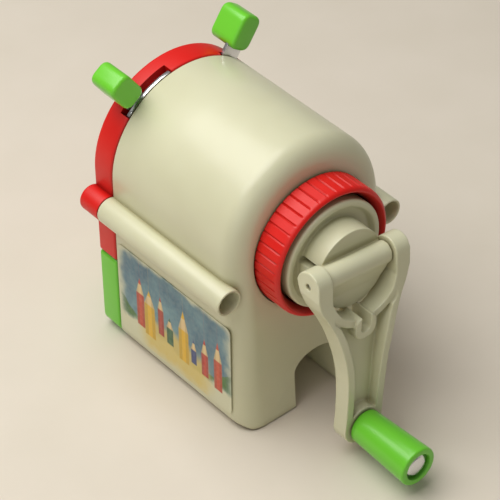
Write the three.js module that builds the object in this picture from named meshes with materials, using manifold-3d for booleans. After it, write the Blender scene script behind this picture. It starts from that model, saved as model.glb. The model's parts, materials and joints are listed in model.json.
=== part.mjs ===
// Crank pencil sharpener: a moulded body with a planetary cutter, a spring-fed pencil chuck,
// a shavings drawer and a folding crank.
//
// Millimetres, +Z up. The crank is at -Y and the pencil goes in from +Y. z = 0 is the table.
// Every "depth" below is measured from the foot of the crank face towards the pencil end,
// and piece() moves the finished shapes so that y = 0 is the middle of the closed body.

import * as THREE from 'three';
import { mergeVertices } from 'three/addons/utils/BufferGeometryUtils.js';
import Module from 'manifold-3d';

const wasm = await Module();
wasm.setup();

// ---- driving dimensions -------------------------------------------------------------------

const HALF_WIDTH = 31; // also the radius of the arched top
const ARCH_Z = 66; // the centre of the arched top
const AXIS_Z = 63.7; // the crank axis
const BODY_LENGTH = 63.5; // the cream housing
const CLOSED_LENGTH = 73; // housing, carriage and drawer together
const FACE_LEAN = Math.tan(THREE.MathUtils.degToRad(3.5)); // the crank face leans back
const WALL = 3.6;
const LEAN_LENGTH = 40; // the lean has faded out by this depth
const MOUTH_WALL = 2.2; // the wall behind the ledge that takes the bulkhead
const EDGE_RADIUS = 6; // around the crank face
const FOOT_RADIUS = 4.5; // along the bottom edges
const PAD_PROUD = 0.6; // how far the anti-slip pad lifts the housing
const SPLIT_Z = 32.3; // the drawer is below, the carriage above
const END_DEPTH = BODY_LENGTH + 0.3; // where the carriage and the drawer front begin
const GAP = 0.02; // between pieces that touch

const FINE = 40; // facets round a large circle
const ROUND = 20;
const SMALL = 12;
const ARCH_STEPS = 28;

const TUBE_X = 33; // the two guide tubes along the sides
const TUBE_Z = 55.8;
const TUBE_RADIUS = 4.6;
const TUBE_BORE = 4;
const TUBE_SHOULDER = 60; // the depth where each spring rests
const ROD_RADIUS = 2;
const ROD_BORE = 2.3;
const ROD_FRONT = 12.2;

const NOTCH_HALF = 9; // the notch under the crank
const NOTCH_SPRING_Z = 13.6;
const NOTCH_TOP_Z = 19.3;
const NOTCH_DEPTH = 25;

const RING_SEAT = 4.8; // the depth of the flat seat behind the lock ring
const RING_FRONT = -6.2;
const RING_RADIUS = 22.8;
const RING_BORE = 19.4;
const RING_RIBS = 42;
const JOURNAL_RADIUS = 13.5;
const JOURNAL_GAP = 0.08;
const HUB_RADIUS = 18.8;
const HUB_BACK = 1.4;
const HUB_FRONT = -6.8;
const HUB_DISH = -5; // the disc's face, sunk inside its rim

const REST_TURN = THREE.MathUtils.degToRad(5.6); // how far round the crank stands at rest
const HINGE_DEPTH = -16.5;
const HINGE_RISE = 2.3; // how far the hinge stands above the crank axis
const HINGE_Z = AXIS_Z + HINGE_RISE;
const BARREL_RADIUS = 3.7;
const BARREL_HALF = 12.4;
const CRANK_SHIFT = -1; // the hinge, arm and knob sit a little to one side of the crank axis
const PIN_RADIUS = 1;
const EAR_INNER = 13;
const EAR_OUTER = 18.7;
const EAR_RADIUS = 5;
const CRANK_RADIUS = 52.8;
const ARM_HALF = 7.7; // half the width of the lower arm
const ARM_END = 6.8; // how far the arm's round end goes below the knob's axis
const ARM_WALL = 2.9;
const ARM_WEB = 2;
const SADDLE_INNER = 13.4;
const SADDLE_OUTER = 15.8;
const SADDLE_FRONT = -23.4;
const ARM_FRONT = -28; // the lower end of the arm
const ARM_BACK = -22.4;
const KNOB_BASE = -28.1;
const KNOB_END = -53.1;
const KNOB_RADIUS = 6.9;
const KNOB_NARROW = 5.8; // beside the arm
const KNOB_AXLE = 1.5;

const RING_TEETH = 34;
const PINION_TEETH = 10;
const CUTTER_SLOPE = 0.185; // the cutter axle leaves the crank axis at this slope
const GEAR_DEPTH = 53.5; // the middle of both gears
const GEAR_APEX = GEAR_DEPTH - 12 / CUTTER_SLOPE; // where the two gear axes meet
const CUTTER_RADIUS = 6.5;
const AXLE_RADIUS = 1.5;

const CHUCK_RECESS = 24;
const JAW_PIVOT = 17;
const JAW_STUD = 9;
const TAB_ANGLE = THREE.MathUtils.degToRad(35); // each lever tab from the vertical
const TAB_INNER = 35.6;
const TAB_OUTER = 47.8;

// ---- small helpers ------------------------------------------------------------------------

const degrees = THREE.MathUtils.degToRad;
const flat = (x, z) => new THREE.Vector2(x, z);

const COLOURS = {
  cream: 0xd8d6ba,
  red: 0xc81e14,
  green: 0x6fc23c,
  steel: 0xb9bcc0,
  brass: 0xc8a860,
  nylon: 0xe6e4da,
  rubber: 0x3a3a3a,
  label: 0x6f9fc8,
};

function material(slot) {
  const metal = slot === 'steel' || slot === 'brass';
  const metalness = metal ? 1 : 0;
  const m = new THREE.MeshStandardMaterial({ color: COLOURS[slot], roughness: 0.4, metalness });
  m.name = slot;
  return m;
}

const MATERIALS = Object.fromEntries(Object.keys(COLOURS).map((slot) => [slot, material(slot)]));

const group = new THREE.Group();
group.name = 'crank_pencil_sharpener';

// Adds one named piece, moved from depths to the row's own origin.
function piece(name, slot, shape) {
  const geometry = toGeometry(toSolid(shape)).translate(0, -CLOSED_LENGTH / 2, 0);
  geometry.computeVertexNormals();
  const mesh = new THREE.Mesh(geometry, MATERIALS[slot]);
  mesh.name = name;
  group.add(mesh);
}

// Turns a shape about the crank axis, from straight down to its place at rest.
function turned(geometry, angle = REST_TURN, shift = 0) {
  return geometry.translate(shift, 0, 0).translate(0, 0, -AXIS_Z).rotateY(angle).translate(0, 0, AXIS_Z);
}

// Extrudes an x-z outline along the crank axis between two depths.
function plate(outline, from, to, bevel = 0) {
  const shape = outline instanceof THREE.Shape ? outline : new THREE.Shape(outline);
  const g = new THREE.ExtrudeGeometry(shape, {
    depth: to - from - 2 * bevel,
    bevelEnabled: bevel > 0,
    bevelThickness: bevel,
    bevelSize: bevel,
    bevelOffset: -bevel,
    bevelSegments: 1,
    curveSegments: 12,
  });
  return g.rotateX(Math.PI / 2).translate(0, to - bevel, 0);
}

// Extrudes a depth-z outline along x.
function sidePlate(outline, from, to) {
  const g = new THREE.ExtrudeGeometry(new THREE.Shape(outline), { depth: to - from, bevelEnabled: false });
  const turn = new THREE.Matrix4().makeBasis(
    new THREE.Vector3(0, 1, 0),
    new THREE.Vector3(0, 0, 1),
    new THREE.Vector3(1, 0, 0),
  );
  return g.applyMatrix4(turn).translate(from, 0, 0);
}

// Extrudes an x-depth outline upwards.
function floorPlate(outline, from, to) {
  const g = new THREE.ExtrudeGeometry(new THREE.Shape(outline), { depth: to - from, bevelEnabled: false });
  return g.translate(0, 0, from);
}

// A body of revolution about a line along the crank axis. Each point is [radius, depth].
function lathe(points, x = 0, z = AXIS_Z, segments = FINE) {
  const closed = [...points.map(([r, d]) => flat(r, d))];
  if (points[0][0] > 0) {
    closed.push(closed[0].clone());
  }
  return new THREE.LatheGeometry(closed, segments).translate(x, 0, z);
}

// A round bar along the crank axis with small chamfers at both ends.
function bar(radius, from, to, x = 0, z = AXIS_Z, segments = ROUND, chamfer = 0.2) {
  const profile = [
    [0, from],
    [radius - chamfer, from],
    [radius, from + chamfer],
    [radius, to - chamfer],
    [radius - chamfer, to],
    [0, to],
  ];
  return lathe(profile, x, z, segments);
}

function hollowBar(outer, inner, from, to, x = 0, z = AXIS_Z, segments = FINE) {
  return lathe([[inner, from], [outer, from], [outer, to], [inner, to]], x, z, segments);
}

// A skin through rings of equal length, closed at both ends.
function loft(rings) {
  const count = rings[0].length;
  const positions = rings.flat().flatMap((p) => [p.x, p.y, p.z]);
  const index = [];
  for (let r = 0; r + 1 < rings.length; r += 1) {
    for (let i = 0; i < count; i += 1) {
      const a = r * count + i;
      const b = r * count + ((i + 1) % count);
      index.push(a, b, b + count, a, b + count, a + count);
    }
  }
  const last = (rings.length - 1) * count;
  const cap = (ring) => THREE.ShapeUtils.triangulateShape(ring.map((p) => flat(p.x, p.z)), []);
  const winding = THREE.ShapeUtils.area(rings[0].map((p) => flat(p.x, p.z))) > 0 ? 1 : -1;
  const face = ([a, b, c], base, way) => {
    const [second, third] = way > 0 ? [b, c] : [c, b];
    index.push(base + a, base + second, base + third);
  };
  cap(rings[0]).forEach((t) => face(t, 0, -winding));
  cap(rings.at(-1)).forEach((t) => face(t, last, winding));
  const g = new THREE.BufferGeometry();
  g.setAttribute('position', new THREE.Float32BufferAttribute(positions, 3));
  g.setIndex(index);
  return outward(g);
}

// Six times the volume a closed mesh holds, negative when its faces point inwards.
function signedVolume(g) {
  const p = g.attributes.position;
  const corner = (i) => new THREE.Vector3().fromBufferAttribute(p, g.index.getX(i));
  let sum = 0;
  for (let i = 0; i < g.index.count; i += 3) {
    sum += corner(i).dot(corner(i + 1).cross(corner(i + 2)));
  }
  return sum;
}

function outward(g) {
  if (signedVolume(g) < 0) {
    const order = Array.from(g.index.array);
    for (let i = 0; i < order.length; i += 3) {
      [order[i + 1], order[i + 2]] = [order[i + 2], order[i + 1]];
    }
    g.setIndex(order);
  }
  return g;
}

function toSolid(geometry) {
  const bare = geometry.clone();
  bare.deleteAttribute('normal');
  bare.deleteAttribute('uv');
  const g = outward(mergeVertices(bare, 1e-4));
  const kept = [];
  for (let i = 0; i < g.index.count; i += 3) {
    const t = [g.index.getX(i), g.index.getX(i + 1), g.index.getX(i + 2)];
    if (new Set(t).size === 3) {
      kept.push(...t);
    }
  }
  const mesh = new wasm.Mesh({
    numProp: 3,
    vertProperties: new Float32Array(g.attributes.position.array),
    triVerts: new Uint32Array(kept),
  });
  return new wasm.Manifold(mesh);
}

function toGeometry(solid) {
  const mesh = solid.getMesh();
  const g = new THREE.BufferGeometry();
  g.setAttribute('position', new THREE.Float32BufferAttribute(mesh.vertProperties, 3));
  g.setIndex(Array.from(mesh.triVerts));
  return g;
}

const joined = (...parts) => parts.map(toSolid).reduce((all, next) => all.add(next));
const shared = (a, b) => toSolid(a).intersect(toSolid(b));
const without = (solid, ...tools) => tools.map(toSolid).reduce((all, next) => all.subtract(next), solid);

// A point at a radius and an angle clockwise from straight up, seen from the crank end.
function polar(radius, angle) {
  return [radius * Math.sin(angle), AXIS_Z + radius * Math.cos(angle)];
}

// An arc of outline points around a centre, angles anticlockwise from +x.
function arc(x, z, rx, rz, from, to, steps) {
  return Array.from({ length: steps + 1 }, (_, i) => {
    const a = from + ((to - from) * i) / steps;
    return flat(x + rx * Math.cos(a), z + rz * Math.sin(a));
  });
}

function roundedRect(x0, x1, z0, z1, r, steps = 4) {
  const q = Math.PI / 2;
  return [
    ...arc(x1 - r, z0 + r, r, r, -q, 0, steps),
    ...arc(x1 - r, z1 - r, r, r, 0, q, steps),
    ...arc(x0 + r, z1 - r, r, r, q, 2 * q, steps),
    ...arc(x0 + r, z0 + r, r, r, 2 * q, 3 * q, steps),
  ];
}

// ---- the body outline ---------------------------------------------------------------------

// The arched outline of the body, drawn in by one amount all round and another at the foot.
function archOutline(inset, footInset = inset) {
  const half = HALF_WIDTH - inset;
  const low = PAD_PROUD + footInset;
  const r = Math.max(FOOT_RADIUS - inset, 0.8);
  return [
    ...arc(half - r, low + r, r, r, -Math.PI / 2, 0, 3),
    ...arc(0, ARCH_Z, half, half, 0, Math.PI, ARCH_STEPS),
    ...arc(-half + r, low + r, r, r, Math.PI, 1.5 * Math.PI, 3),
  ];
}

// The part of the arch above a straight lower edge.
function archAbove(inset, low) {
  const half = HALF_WIDTH - inset;
  return [flat(half, low), ...arc(0, ARCH_Z, half, half, 0, Math.PI, ARCH_STEPS), flat(-half, low)];
}

function leaningRing(outline, depth) {
  const share = Math.max(0, 1 - depth / LEAN_LENGTH);
  return outline.map((p) => new THREE.Vector3(p.x, depth + p.y * FACE_LEAN * share, p.y));
}

function roundedFront(radius, inset, start, steps) {
  return Array.from({ length: steps + 1 }, (_, i) => {
    const a = ((Math.PI / 2) * i) / steps;
    const drawn = radius * (1 - Math.sin(a));
    return leaningRing(archOutline(inset + drawn, inset), start + radius * (1 - Math.cos(a)));
  });
}

function notchOutline(grow) {
  const half = NOTCH_HALF + grow;
  return [
    flat(-half, -1),
    flat(half, -1),
    ...arc(0, NOTCH_SPRING_Z, half, NOTCH_TOP_Z - NOTCH_SPRING_Z + grow, 0, Math.PI, 10),
  ];
}

function padOutline(grow) {
  const half = 26 + grow;
  const inner = NOTCH_HALF + 2.4 - grow;
  const front = 5 - grow;
  return [
    flat(-half, front),
    flat(-inner, front),
    flat(-inner, NOTCH_DEPTH + 5 - grow),
    flat(inner, NOTCH_DEPTH + 5 - grow),
    flat(inner, front),
    flat(half, front),
    flat(half, 59 + grow),
    flat(-half, 59 + grow),
  ];
}

const LABEL_FRONT = 6.2;
const LABEL_BACK = 62.4;
const LABEL_LOW = 6;
const LABEL_HIGH = 42;

const BOSSES = [[25.2, 38.3], [-25.2, 38.3], [18.4, 84.4], [-18.4, 84.4]]; // the bulkhead screws, x and z

function housing() {
  const outer = loft([
    ...roundedFront(EDGE_RADIUS, 0, 0, 4),
    leaningRing(archOutline(0), BODY_LENGTH - 0.5),
    leaningRing(archOutline(0.5), BODY_LENGTH),
  ]);
  const hollow = loft([
    ...roundedFront(EDGE_RADIUS - WALL, WALL, WALL, 2),
    leaningRing(archOutline(WALL, 2.4), 56.8),
  ]);
  const mouth = loft([
    leaningRing(archOutline(MOUTH_WALL, 2.4), 56.7),
    leaningRing(archOutline(MOUTH_WALL, 2.4), BODY_LENGTH + 2),
  ]);
  const tubes = [-TUBE_X, TUBE_X].map((x) => tube(x));
  const bores = [-TUBE_X, TUBE_X].flatMap((x) => [
    bar(TUBE_BORE, -2, TUBE_SHOULDER, x, TUBE_Z, ROUND, 0),
    bar(ROD_BORE, TUBE_SHOULDER - 1, BODY_LENGTH + 2, x, TUBE_Z, ROUND, 0),
  ]);
  const bosses = BOSSES.map(([x, z]) => bar(3, 44, 56.8, x, z, SMALL, 0));
  const pilots = BOSSES.map(([x, z]) => bar(1.05, 47, 58, x, z, SMALL, 0));
  const shell = without(joined(outer, ...tubes), hollow, mouth);
  const collar = hollowBar(RING_BORE - 0.5, JOURNAL_RADIUS - 1, HUB_BACK + 0.4, 8.6);
  const tunnel = plate(notchOutline(2), 3, NOTCH_DEPTH + 2);
  const seat = hollowBar(RING_RADIUS + 0.5, RING_BORE - 0.5, -2, RING_SEAT);
  const filled = shell.add(toSolid(tunnel)).subtract(toSolid(seat)).add(toSolid(collar));
  const body = bosses.map(toSolid).reduce((all, next) => all.add(next), filled);
  const below = floorPlate([flat(-40, -5), flat(40, -5), flat(40, 80), flat(-40, 80)], -9, PAD_PROUD);
  return toGeometry(
    without(
      body,
      below,
      plate(notchOutline(0), -2, NOTCH_DEPTH),
      bar(JOURNAL_RADIUS + JOURNAL_GAP, -4, 12, 0, AXIS_Z, FINE, 0),
      floorPlate(padOutline(0.3), -1, PAD_PROUD + 0.7),
      ...bores,
      ...pilots,
    ),
  );
}

// One guide tube, with a rounded lip at its open front end.
function tube(x) {
  const front = TUBE_Z * FACE_LEAN + 0.4;
  const profile = [
    [0, front],
    [TUBE_RADIUS - 0.5, front],
    [TUBE_RADIUS - 0.15, front + 0.15],
    [TUBE_RADIUS, front + 0.5],
    [TUBE_RADIUS, BODY_LENGTH - 0.3],
    [TUBE_RADIUS - 0.3, BODY_LENGTH],
    [0, BODY_LENGTH],
  ];
  return lathe(profile, x, TUBE_Z, ROUND);
}

function basePad() {
  return floorPlate(padOutline(0), 0, PAD_PROUD + 0.6);
}

function sideLabel(side) {
  const outline = roundedRect(LABEL_FRONT, LABEL_BACK, LABEL_LOW, LABEL_HIGH, 2);
  const near = HALF_WIDTH + GAP;
  const far = near + 0.25;
  return side > 0 ? sidePlate(outline, near, far) : sidePlate(outline, -far, -near);
}

// ---- the bulkhead and the ring gear -------------------------------------------------------

const BULKHEAD_FRONT = 57;
const BULKHEAD_BACK = 60;
const SLEEVE_RADIUS = 5.4;
const PENCIL_BORE = 4.4;

function bulkhead() {
  const sheet = plate(archAbove(MOUTH_WALL + 0.75, SPLIT_Z), BULKHEAD_FRONT, BULKHEAD_BACK);
  const sleeve = bar(SLEEVE_RADIUS, 48.7, BULKHEAD_FRONT + 0.5, 0, AXIS_Z, ROUND, 0.3);
  const mouth = BULKHEAD_BACK + 0.1;
  const lead = lathe([[0, 56], [PENCIL_BORE, 56], [PENCIL_BORE + 2.4, mouth], [0, mouth]]);
  const holes = BOSSES.map(([x, z]) => bar(1.3, 56, 61, x, z, SMALL, 0));
  const pegs = ringPegs(1.25, BULKHEAD_FRONT - 0.1, BULKHEAD_BACK + 1);
  const bore = bar(PENCIL_BORE, 47, 57, 0, AXIS_Z, ROUND, 0);
  return toGeometry(without(joined(sheet, sleeve), bore, lead, ...holes, ...pegs));
}

function ringPegs(radius, from, to) {
  return [0, 1, 2].map((i) => {
    const [x, z] = polar(20, degrees(60 + 120 * i));
    return bar(radius, from, to, x, z, SMALL, 0);
  });
}

function bulkheadScrew([x, z]) {
  const top = BULKHEAD_BACK + GAP;
  const head = [[2.1, top], [2.1, top + 0.7], [1.4, top + 1.3], [0, top + 1.3]];
  return lathe([[0, 49], [1, 50], [1, top], ...head], x, z, SMALL);
}

// A gear outline of straight-sided teeth. Each tooth is four corners at the given radii.
function gearOutline(teeth, root, tip, rootHalf, tipHalf, phase) {
  return Array.from({ length: teeth }, (_, i) => {
    const mid = phase + (i * 2 * Math.PI) / teeth;
    const corner = (r, a) => [r * Math.sin(mid + a), r * Math.cos(mid + a)];
    return [corner(root, -rootHalf), corner(tip, -tipHalf), corner(tip, tipHalf), corner(root, rootHalf)];
  }).flat();
}

const RING_PITCH = (Math.PI * 2) / RING_TEETH;
const PINION_PITCH = (Math.PI * 2) / PINION_TEETH;
const SHAFT_ANGLE = Math.atan(CUTTER_SLOPE);
const PINION_CONE = Math.atan(Math.sin(SHAFT_ANGLE) / (RING_TEETH / PINION_TEETH - Math.cos(SHAFT_ANGLE)));
const RING_CONE = PINION_CONE + SHAFT_ANGLE;

// Teeth taper towards the point where the two gear axes meet.
function taperedGear(outline, apex, middle, from, to) {
  const section = (depth) => {
    const scale = (depth - apex) / (middle - apex);
    return outline.map(([x, z]) => new THREE.Vector3(x * scale, depth, AXIS_Z + z * scale));
  };
  return loft([section(from), section(to)]);
}

function ringGear() {
  const pitch = (GEAR_DEPTH - GEAR_APEX) * Math.tan(RING_CONE);
  const space = gearOutline(RING_TEETH, pitch - 0.85, pitch + 1.2, 0.36 * RING_PITCH, 0.22 * RING_PITCH, 0);
  const inside = turned(taperedGear(space, GEAR_APEX, GEAR_DEPTH, 49, 58));
  const rim = bar(21.5, 50.7, BULKHEAD_FRONT - GAP, 0, AXIS_Z, FINE, 0.3);
  return toGeometry(without(joined(rim, ...ringPegs(1.2, 55, BULKHEAD_BACK - 0.3)), inside));
}

// ---- the cutter carrier, which turns with the crank ---------------------------------------

// Tips a shape built along the crank axis, with depths from the apex, onto the cutter's axle.
function onCutterAxle(geometry) {
  return turned(geometry.translate(0, 0, -AXIS_Z).rotateX(SHAFT_ANGLE).translate(0, GEAR_APEX, AXIS_Z));
}

const alongAxle = (depth) => (depth - GEAR_APEX) / Math.cos(SHAFT_ANGLE);

function cutterCarrier() {
  const journal = lathe([[0, HUB_BACK + GAP], [13.2, HUB_BACK + GAP], [JOURNAL_RADIUS, HUB_BACK + 0.4],
    [JOURNAL_RADIUS, 9], [16, 9], [16, 12.5], [0, 12.5]]);
  const sweep = arc(0, AXIS_Z, 15.4, 15.4, degrees(200), degrees(340), 12);
  const inner = arc(0, AXIS_Z, 12.6, 12.6, degrees(340), degrees(200), 12);
  const web = plate([...sweep, ...inner], 12, 49);
  const rear = bar(15.4, 48.5, 50, 0, AXIS_Z, FINE, 0.2);
  const socket = turned(bar(6.05, -1, 5.2, 0, AXIS_Z, ROUND, 0));
  const stopHole = bar(1.42, 10, 14, 0, AXIS_Z, ROUND, 0);
  const axleHole = bar(AXLE_RADIUS + GAP, alongAxle(8.4), alongAxle(14), 0, AXIS_Z, ROUND, 0);
  const sleeveHole = bar(3.6, alongAxle(46), alongAxle(52), 0, AXIS_Z, ROUND, 0);
  const pencilHole = bar(SLEEVE_RADIUS + 0.3, 46, 51, 0, AXIS_Z, ROUND, 0);
  const body = joined(turned(journal), turned(web), turned(rear));
  const tilted = [axleHole, sleeveHole].map(onCutterAxle);
  return toGeometry(without(body, socket, stopHole, ...tilted, pencilHole));
}

function pointStop() {
  return lathe([[0, 10.1], [1.4, 10.1], [1.4, 15.4], [1.1, 18.2], [0, 18.2]], 0, AXIS_Z, ROUND);
}

function cutterAxle() {
  const end = alongAxle(56.6);
  const g = lathe([[0, alongAxle(8.6)], [AXLE_RADIUS, alongAxle(8.6)], [AXLE_RADIUS, end - 0.7],
    [2.4, end - 0.7], [2.4, end - 0.2], [1.9, end], [0, end]], 0, AXIS_Z, ROUND);
  return onCutterAxle(g);
}

// The cutter: a hardened roller with helical edges, closer to the crank axis at its front end.
function helicalCutter() {
  const flutes = 10;
  const length = alongAxle(47) - alongAxle(20);
  const steps = 8;
  const lead = (length * Math.tan(degrees(25))) / CUTTER_RADIUS;
  const rings = Array.from({ length: steps + 1 }, (_, s) => {
    const depth = alongAxle(20) + (length * s) / steps;
    const outline = gearOutline(flutes, CUTTER_RADIUS - 0.8, CUTTER_RADIUS, 0.2, 0.05, (lead * s) / steps);
    return outline.map(([x, z]) => new THREE.Vector3(x, depth, AXIS_Z + z));
  });
  const bore = bar(AXLE_RADIUS + 0.06, alongAxle(19), alongAxle(49), 0, AXIS_Z, ROUND, 0);
  return onCutterAxle(toGeometry(without(joined(loft(rings)), bore)));
}

function cutterPinion() {
  const pitch = alongAxle(GEAR_DEPTH) * Math.tan(PINION_CONE);
  const [rootHalf, tipHalf] = [0.27 * PINION_PITCH, 0.1 * PINION_PITCH];
  const outline = gearOutline(PINION_TEETH, pitch - 1.15, pitch + 0.8, rootHalf, tipHalf, 0);
  const teeth = taperedGear(outline, 0, alongAxle(GEAR_DEPTH), alongAxle(51.7), alongAxle(55.3));
  const sleeve = bar(3.3, alongAxle(47) + GAP, alongAxle(52), 0, AXIS_Z, ROUND, 0);
  const bore = bar(AXLE_RADIUS + 0.06, alongAxle(46), alongAxle(58), 0, AXIS_Z, ROUND, 0);
  return onCutterAxle(toGeometry(without(joined(teeth, sleeve), bore)));
}

// ---- the lock ring ------------------------------------------------------------------------

function lockRing() {
  const ribbed = (radius, valley, depth) => {
    const outline = gearOutline(RING_RIBS, valley, radius, degrees(2.6), degrees(2), 0);
    return outline.map(([x, z]) => new THREE.Vector3(x, depth, AXIS_Z + z));
  };
  const knurl = loft([
    ribbed(RING_RADIUS, RING_RADIUS - 0.7, RING_SEAT - GAP),
    ribbed(RING_RADIUS, RING_RADIUS - 0.7, RING_FRONT + 1.6),
    ribbed(RING_RADIUS - 1.8, RING_RADIUS - 1.9, RING_FRONT),
  ]);
  return toGeometry(without(joined(knurl), bar(RING_BORE, -10, 10, 0, AXIS_Z, FINE, 0)));
}

// ---- the crank ----------------------------------------------------------------------------

const alongX = (radius, from, to, segments) => {
  const g = new THREE.CylinderGeometry(radius, radius, to - from, segments);
  return g.rotateZ(Math.PI / 2).translate((from + to) / 2, HINGE_DEPTH, HINGE_Z);
};

function crankHub() {
  const disc = lathe([[0, HUB_BACK], [HUB_RADIUS - 0.3, HUB_BACK], [HUB_RADIUS, HUB_BACK - 0.3],
    [HUB_RADIUS, HUB_FRONT + 1], [HUB_RADIUS - 0.3, HUB_FRONT + 0.3], [HUB_RADIUS - 1, HUB_FRONT],
    [HUB_RADIUS - 2.1, HUB_FRONT], [HUB_RADIUS - 3.2, HUB_DISH], [0, HUB_DISH]], 0, AXIS_Z, FINE);
  const crown = plate(arc(0, AXIS_Z, 12.6, 12.6, degrees(18), degrees(162), 20), -13.3, -4, 0.3);
  const lower = plate(arc(CRANK_SHIFT, AXIS_Z, 12.3, 12.3, degrees(170), degrees(370), 20), -17.5, -4);
  const spigot = bar(6, HUB_BACK - 1, 5, 0, AXIS_Z, ROUND, 0.3);
  const barrel = alongX(BARREL_RADIUS, CRANK_SHIFT - BARREL_HALF, CRANK_SHIFT + BARREL_HALF, ROUND);
  const pinHole = alongX(PIN_RADIUS + 0.04, -20, 20, SMALL);
  return turned(toGeometry(without(joined(disc, crown, lower, spigot, barrel), pinHole)));
}

const KNOB_Z = AXIS_Z - CRANK_RADIUS;

// The arm seen from the front, its sides following one smooth curve from the ears to the knob.
function armOutline(drawnIn) {
  const sides = new THREE.SplineCurve([
    flat(EAR_OUTER, -1),
    flat(17.5, -5),
    flat(14.7, -10),
    flat(12.4, -15),
    flat(10.6, -20.5),
    flat(9, -27),
    flat(8.1, -34),
    flat(ARM_HALF, -43),
  ]).getPoints(14);
  const top = flat(EAR_OUTER, HINGE_RISE + EAR_RADIUS + 1);
  const right = [top, ...sides].map((p) => flat(p.x - drawnIn, AXIS_Z + p.y));
  const left = right.map((p) => flat(-p.x, p.y)).reverse();
  const end = arc(0, AXIS_Z - CRANK_RADIUS, ARM_HALF - drawnIn, ARM_END - drawnIn, 0, -Math.PI, 12);
  return [...right, ...end, ...left];
}

// The arm seen from the side, curving away from the body as it goes down to the knob.
function armProfile(inward) {
  const low = AXIS_Z - CRANK_RADIUS - ARM_HALF - 1;
  const crown = arc(HINGE_DEPTH, HINGE_Z, EAR_RADIUS, EAR_RADIUS, 0, Math.PI, 10);
  const curve = (points) => new THREE.SplineCurve(points).getPoints(8);
  const front = curve([flat(-22.4, AXIS_Z - 4), flat(-24.6, AXIS_Z - 13), flat(-26.4, AXIS_Z - 22),
    flat(-27.5, AXIS_Z - 34), flat(ARM_FRONT, AXIS_Z - 48)]);
  const back = curve([flat(ARM_BACK, AXIS_Z - 48), flat(-21.6, AXIS_Z - 36), flat(-19.9, AXIS_Z - 24),
    flat(-17.2, AXIS_Z - 13), flat(-14.2, AXIS_Z - 4)]);
  const outline = [flat(ARM_BACK, low), ...back, ...crown, ...front, flat(ARM_FRONT, low)];
  return outline.map((p) => flat(p.x - inward, p.y));
}

function crankArm() {
  const above = AXIS_Z + 20;
  const across = (half, low) => [flat(-half, low), flat(half, low), flat(half, above), flat(-half, above)];
  const blank = shared(plate(armOutline(0), -40, 0), sidePlate(armProfile(0), -25, 25));
  const channel = shared(plate(armOutline(ARM_WALL), -40, 0), sidePlate(armProfile(ARM_WEB), -25, 25));
  const belowSaddle = without(
    channel,
    bar(SADDLE_OUTER, -40, 0, 0, AXIS_Z, FINE, 0),
    plate(across(30, AXIS_Z - 9.5), -50, 10),
  );
  const opening = shared(
    plate(roundedRect(-EAR_INNER, EAR_INNER, AXIS_Z - 30, AXIS_Z + 20, 1), -40, 0),
    bar(SADDLE_INNER, -40, 0, 0, AXIS_Z, FINE, 0),
  ).add(toSolid(plate(across(EAR_INNER, AXIS_Z - 4), -40, 0)));
  const bandFront = shared(
    plate(across(EAR_INNER, AXIS_Z - 30), -40, SADDLE_FRONT),
    bar(SADDLE_OUTER + 0.4, -40, 0, 0, AXIS_Z, FINE, 0),
  );
  const clip = plate(roundedRect(-4.3, 4.3, AXIS_Z - 20.6, AXIS_Z - 12, 4.1), SADDLE_FRONT - 1, -15.5);
  const clipSlot = plate(roundedRect(-1.9, 1.9, AXIS_Z - 18.2, AXIS_Z - 8, 1.8), -40, -8);
  const boss = bar(ARM_END - 0.2, ARM_FRONT, ARM_BACK - 1, 0, KNOB_Z, ROUND, 0.3);
  const pinHole = alongX(PIN_RADIUS + GAP, -25, 25, SMALL);
  const axleHole = bar(KNOB_AXLE + GAP, -40, ARM_BACK - 0.8, 0, KNOB_Z, ROUND, 0);
  const framed = blank.subtract(belowSaddle).subtract(opening).subtract(bandFront);
  const filled = framed.add(toSolid(clip)).add(toSolid(boss));
  return turned(toGeometry(without(filled, clipSlot, pinHole, axleHole)), REST_TURN, CRANK_SHIFT);
}

function hingePin() {
  return turned(alongX(PIN_RADIUS, 0.8 - EAR_OUTER, EAR_OUTER - 0.8, SMALL), REST_TURN, CRANK_SHIFT);
}

function knobAxle() {
  const head = [[3.7, KNOB_END + 1.6], [3.7, KNOB_END + 0.7], [2.8, KNOB_END + 0.3], [0, KNOB_END + 0.1]];
  const shaft = [[0, ARM_BACK - 0.9], [KNOB_AXLE, ARM_BACK - 0.9], [KNOB_AXLE, KNOB_END + 1.6]];
  return turned(lathe([...shaft, ...head], 0, KNOB_Z, ROUND), REST_TURN, CRANK_SHIFT);
}

function crankKnob() {
  const r = KNOB_RADIUS;
  const bore = KNOB_AXLE + 0.08;
  const narrow = KNOB_NARROW;
  const shoulder = [[narrow - 0.9, KNOB_BASE], [narrow - 0.2, KNOB_BASE - 0.5], [narrow, KNOB_BASE - 1.4]];
  const nose = [[r, KNOB_END + 1.6], [r - 0.3, KNOB_END + 0.6], [r - 1, KNOB_END]];
  const socket = [[4.2, KNOB_END], [4, KNOB_END + 0.3], [4, KNOB_END + 1.7], [bore, KNOB_END + 1.7]];
  const outline = [[bore, KNOB_BASE], ...shoulder, ...nose, ...socket];
  return turned(lathe(outline, 0, KNOB_Z, ROUND), REST_TURN, CRANK_SHIFT);
}

// ---- the carriage, which pulls out against its springs ------------------------------------

const COVER_FRONT = 64.3; // the steel chuck plate
const COVER_BACK = 65.5;
const CAM_FRONT = 66.1;
const CAM_BACK = 67.3;
const JAW_FRONT = 67.8;
const JAW_BACK = 69.8;
const RECESS_FLOOR = 70.5;
const SCREW_CIRCLE = 20.5;

// A wedge around the crank axis between two angles from the vertical, clockwise.
function wedge(from, to, inner, outer, start, end) {
  const side = (r, a, b) => Array.from({ length: 7 }, (_, i) => flat(...polar(r, a + ((b - a) * i) / 6)));
  return plate([...side(outer, from, to), ...side(inner, to, from)], start, end);
}

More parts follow.
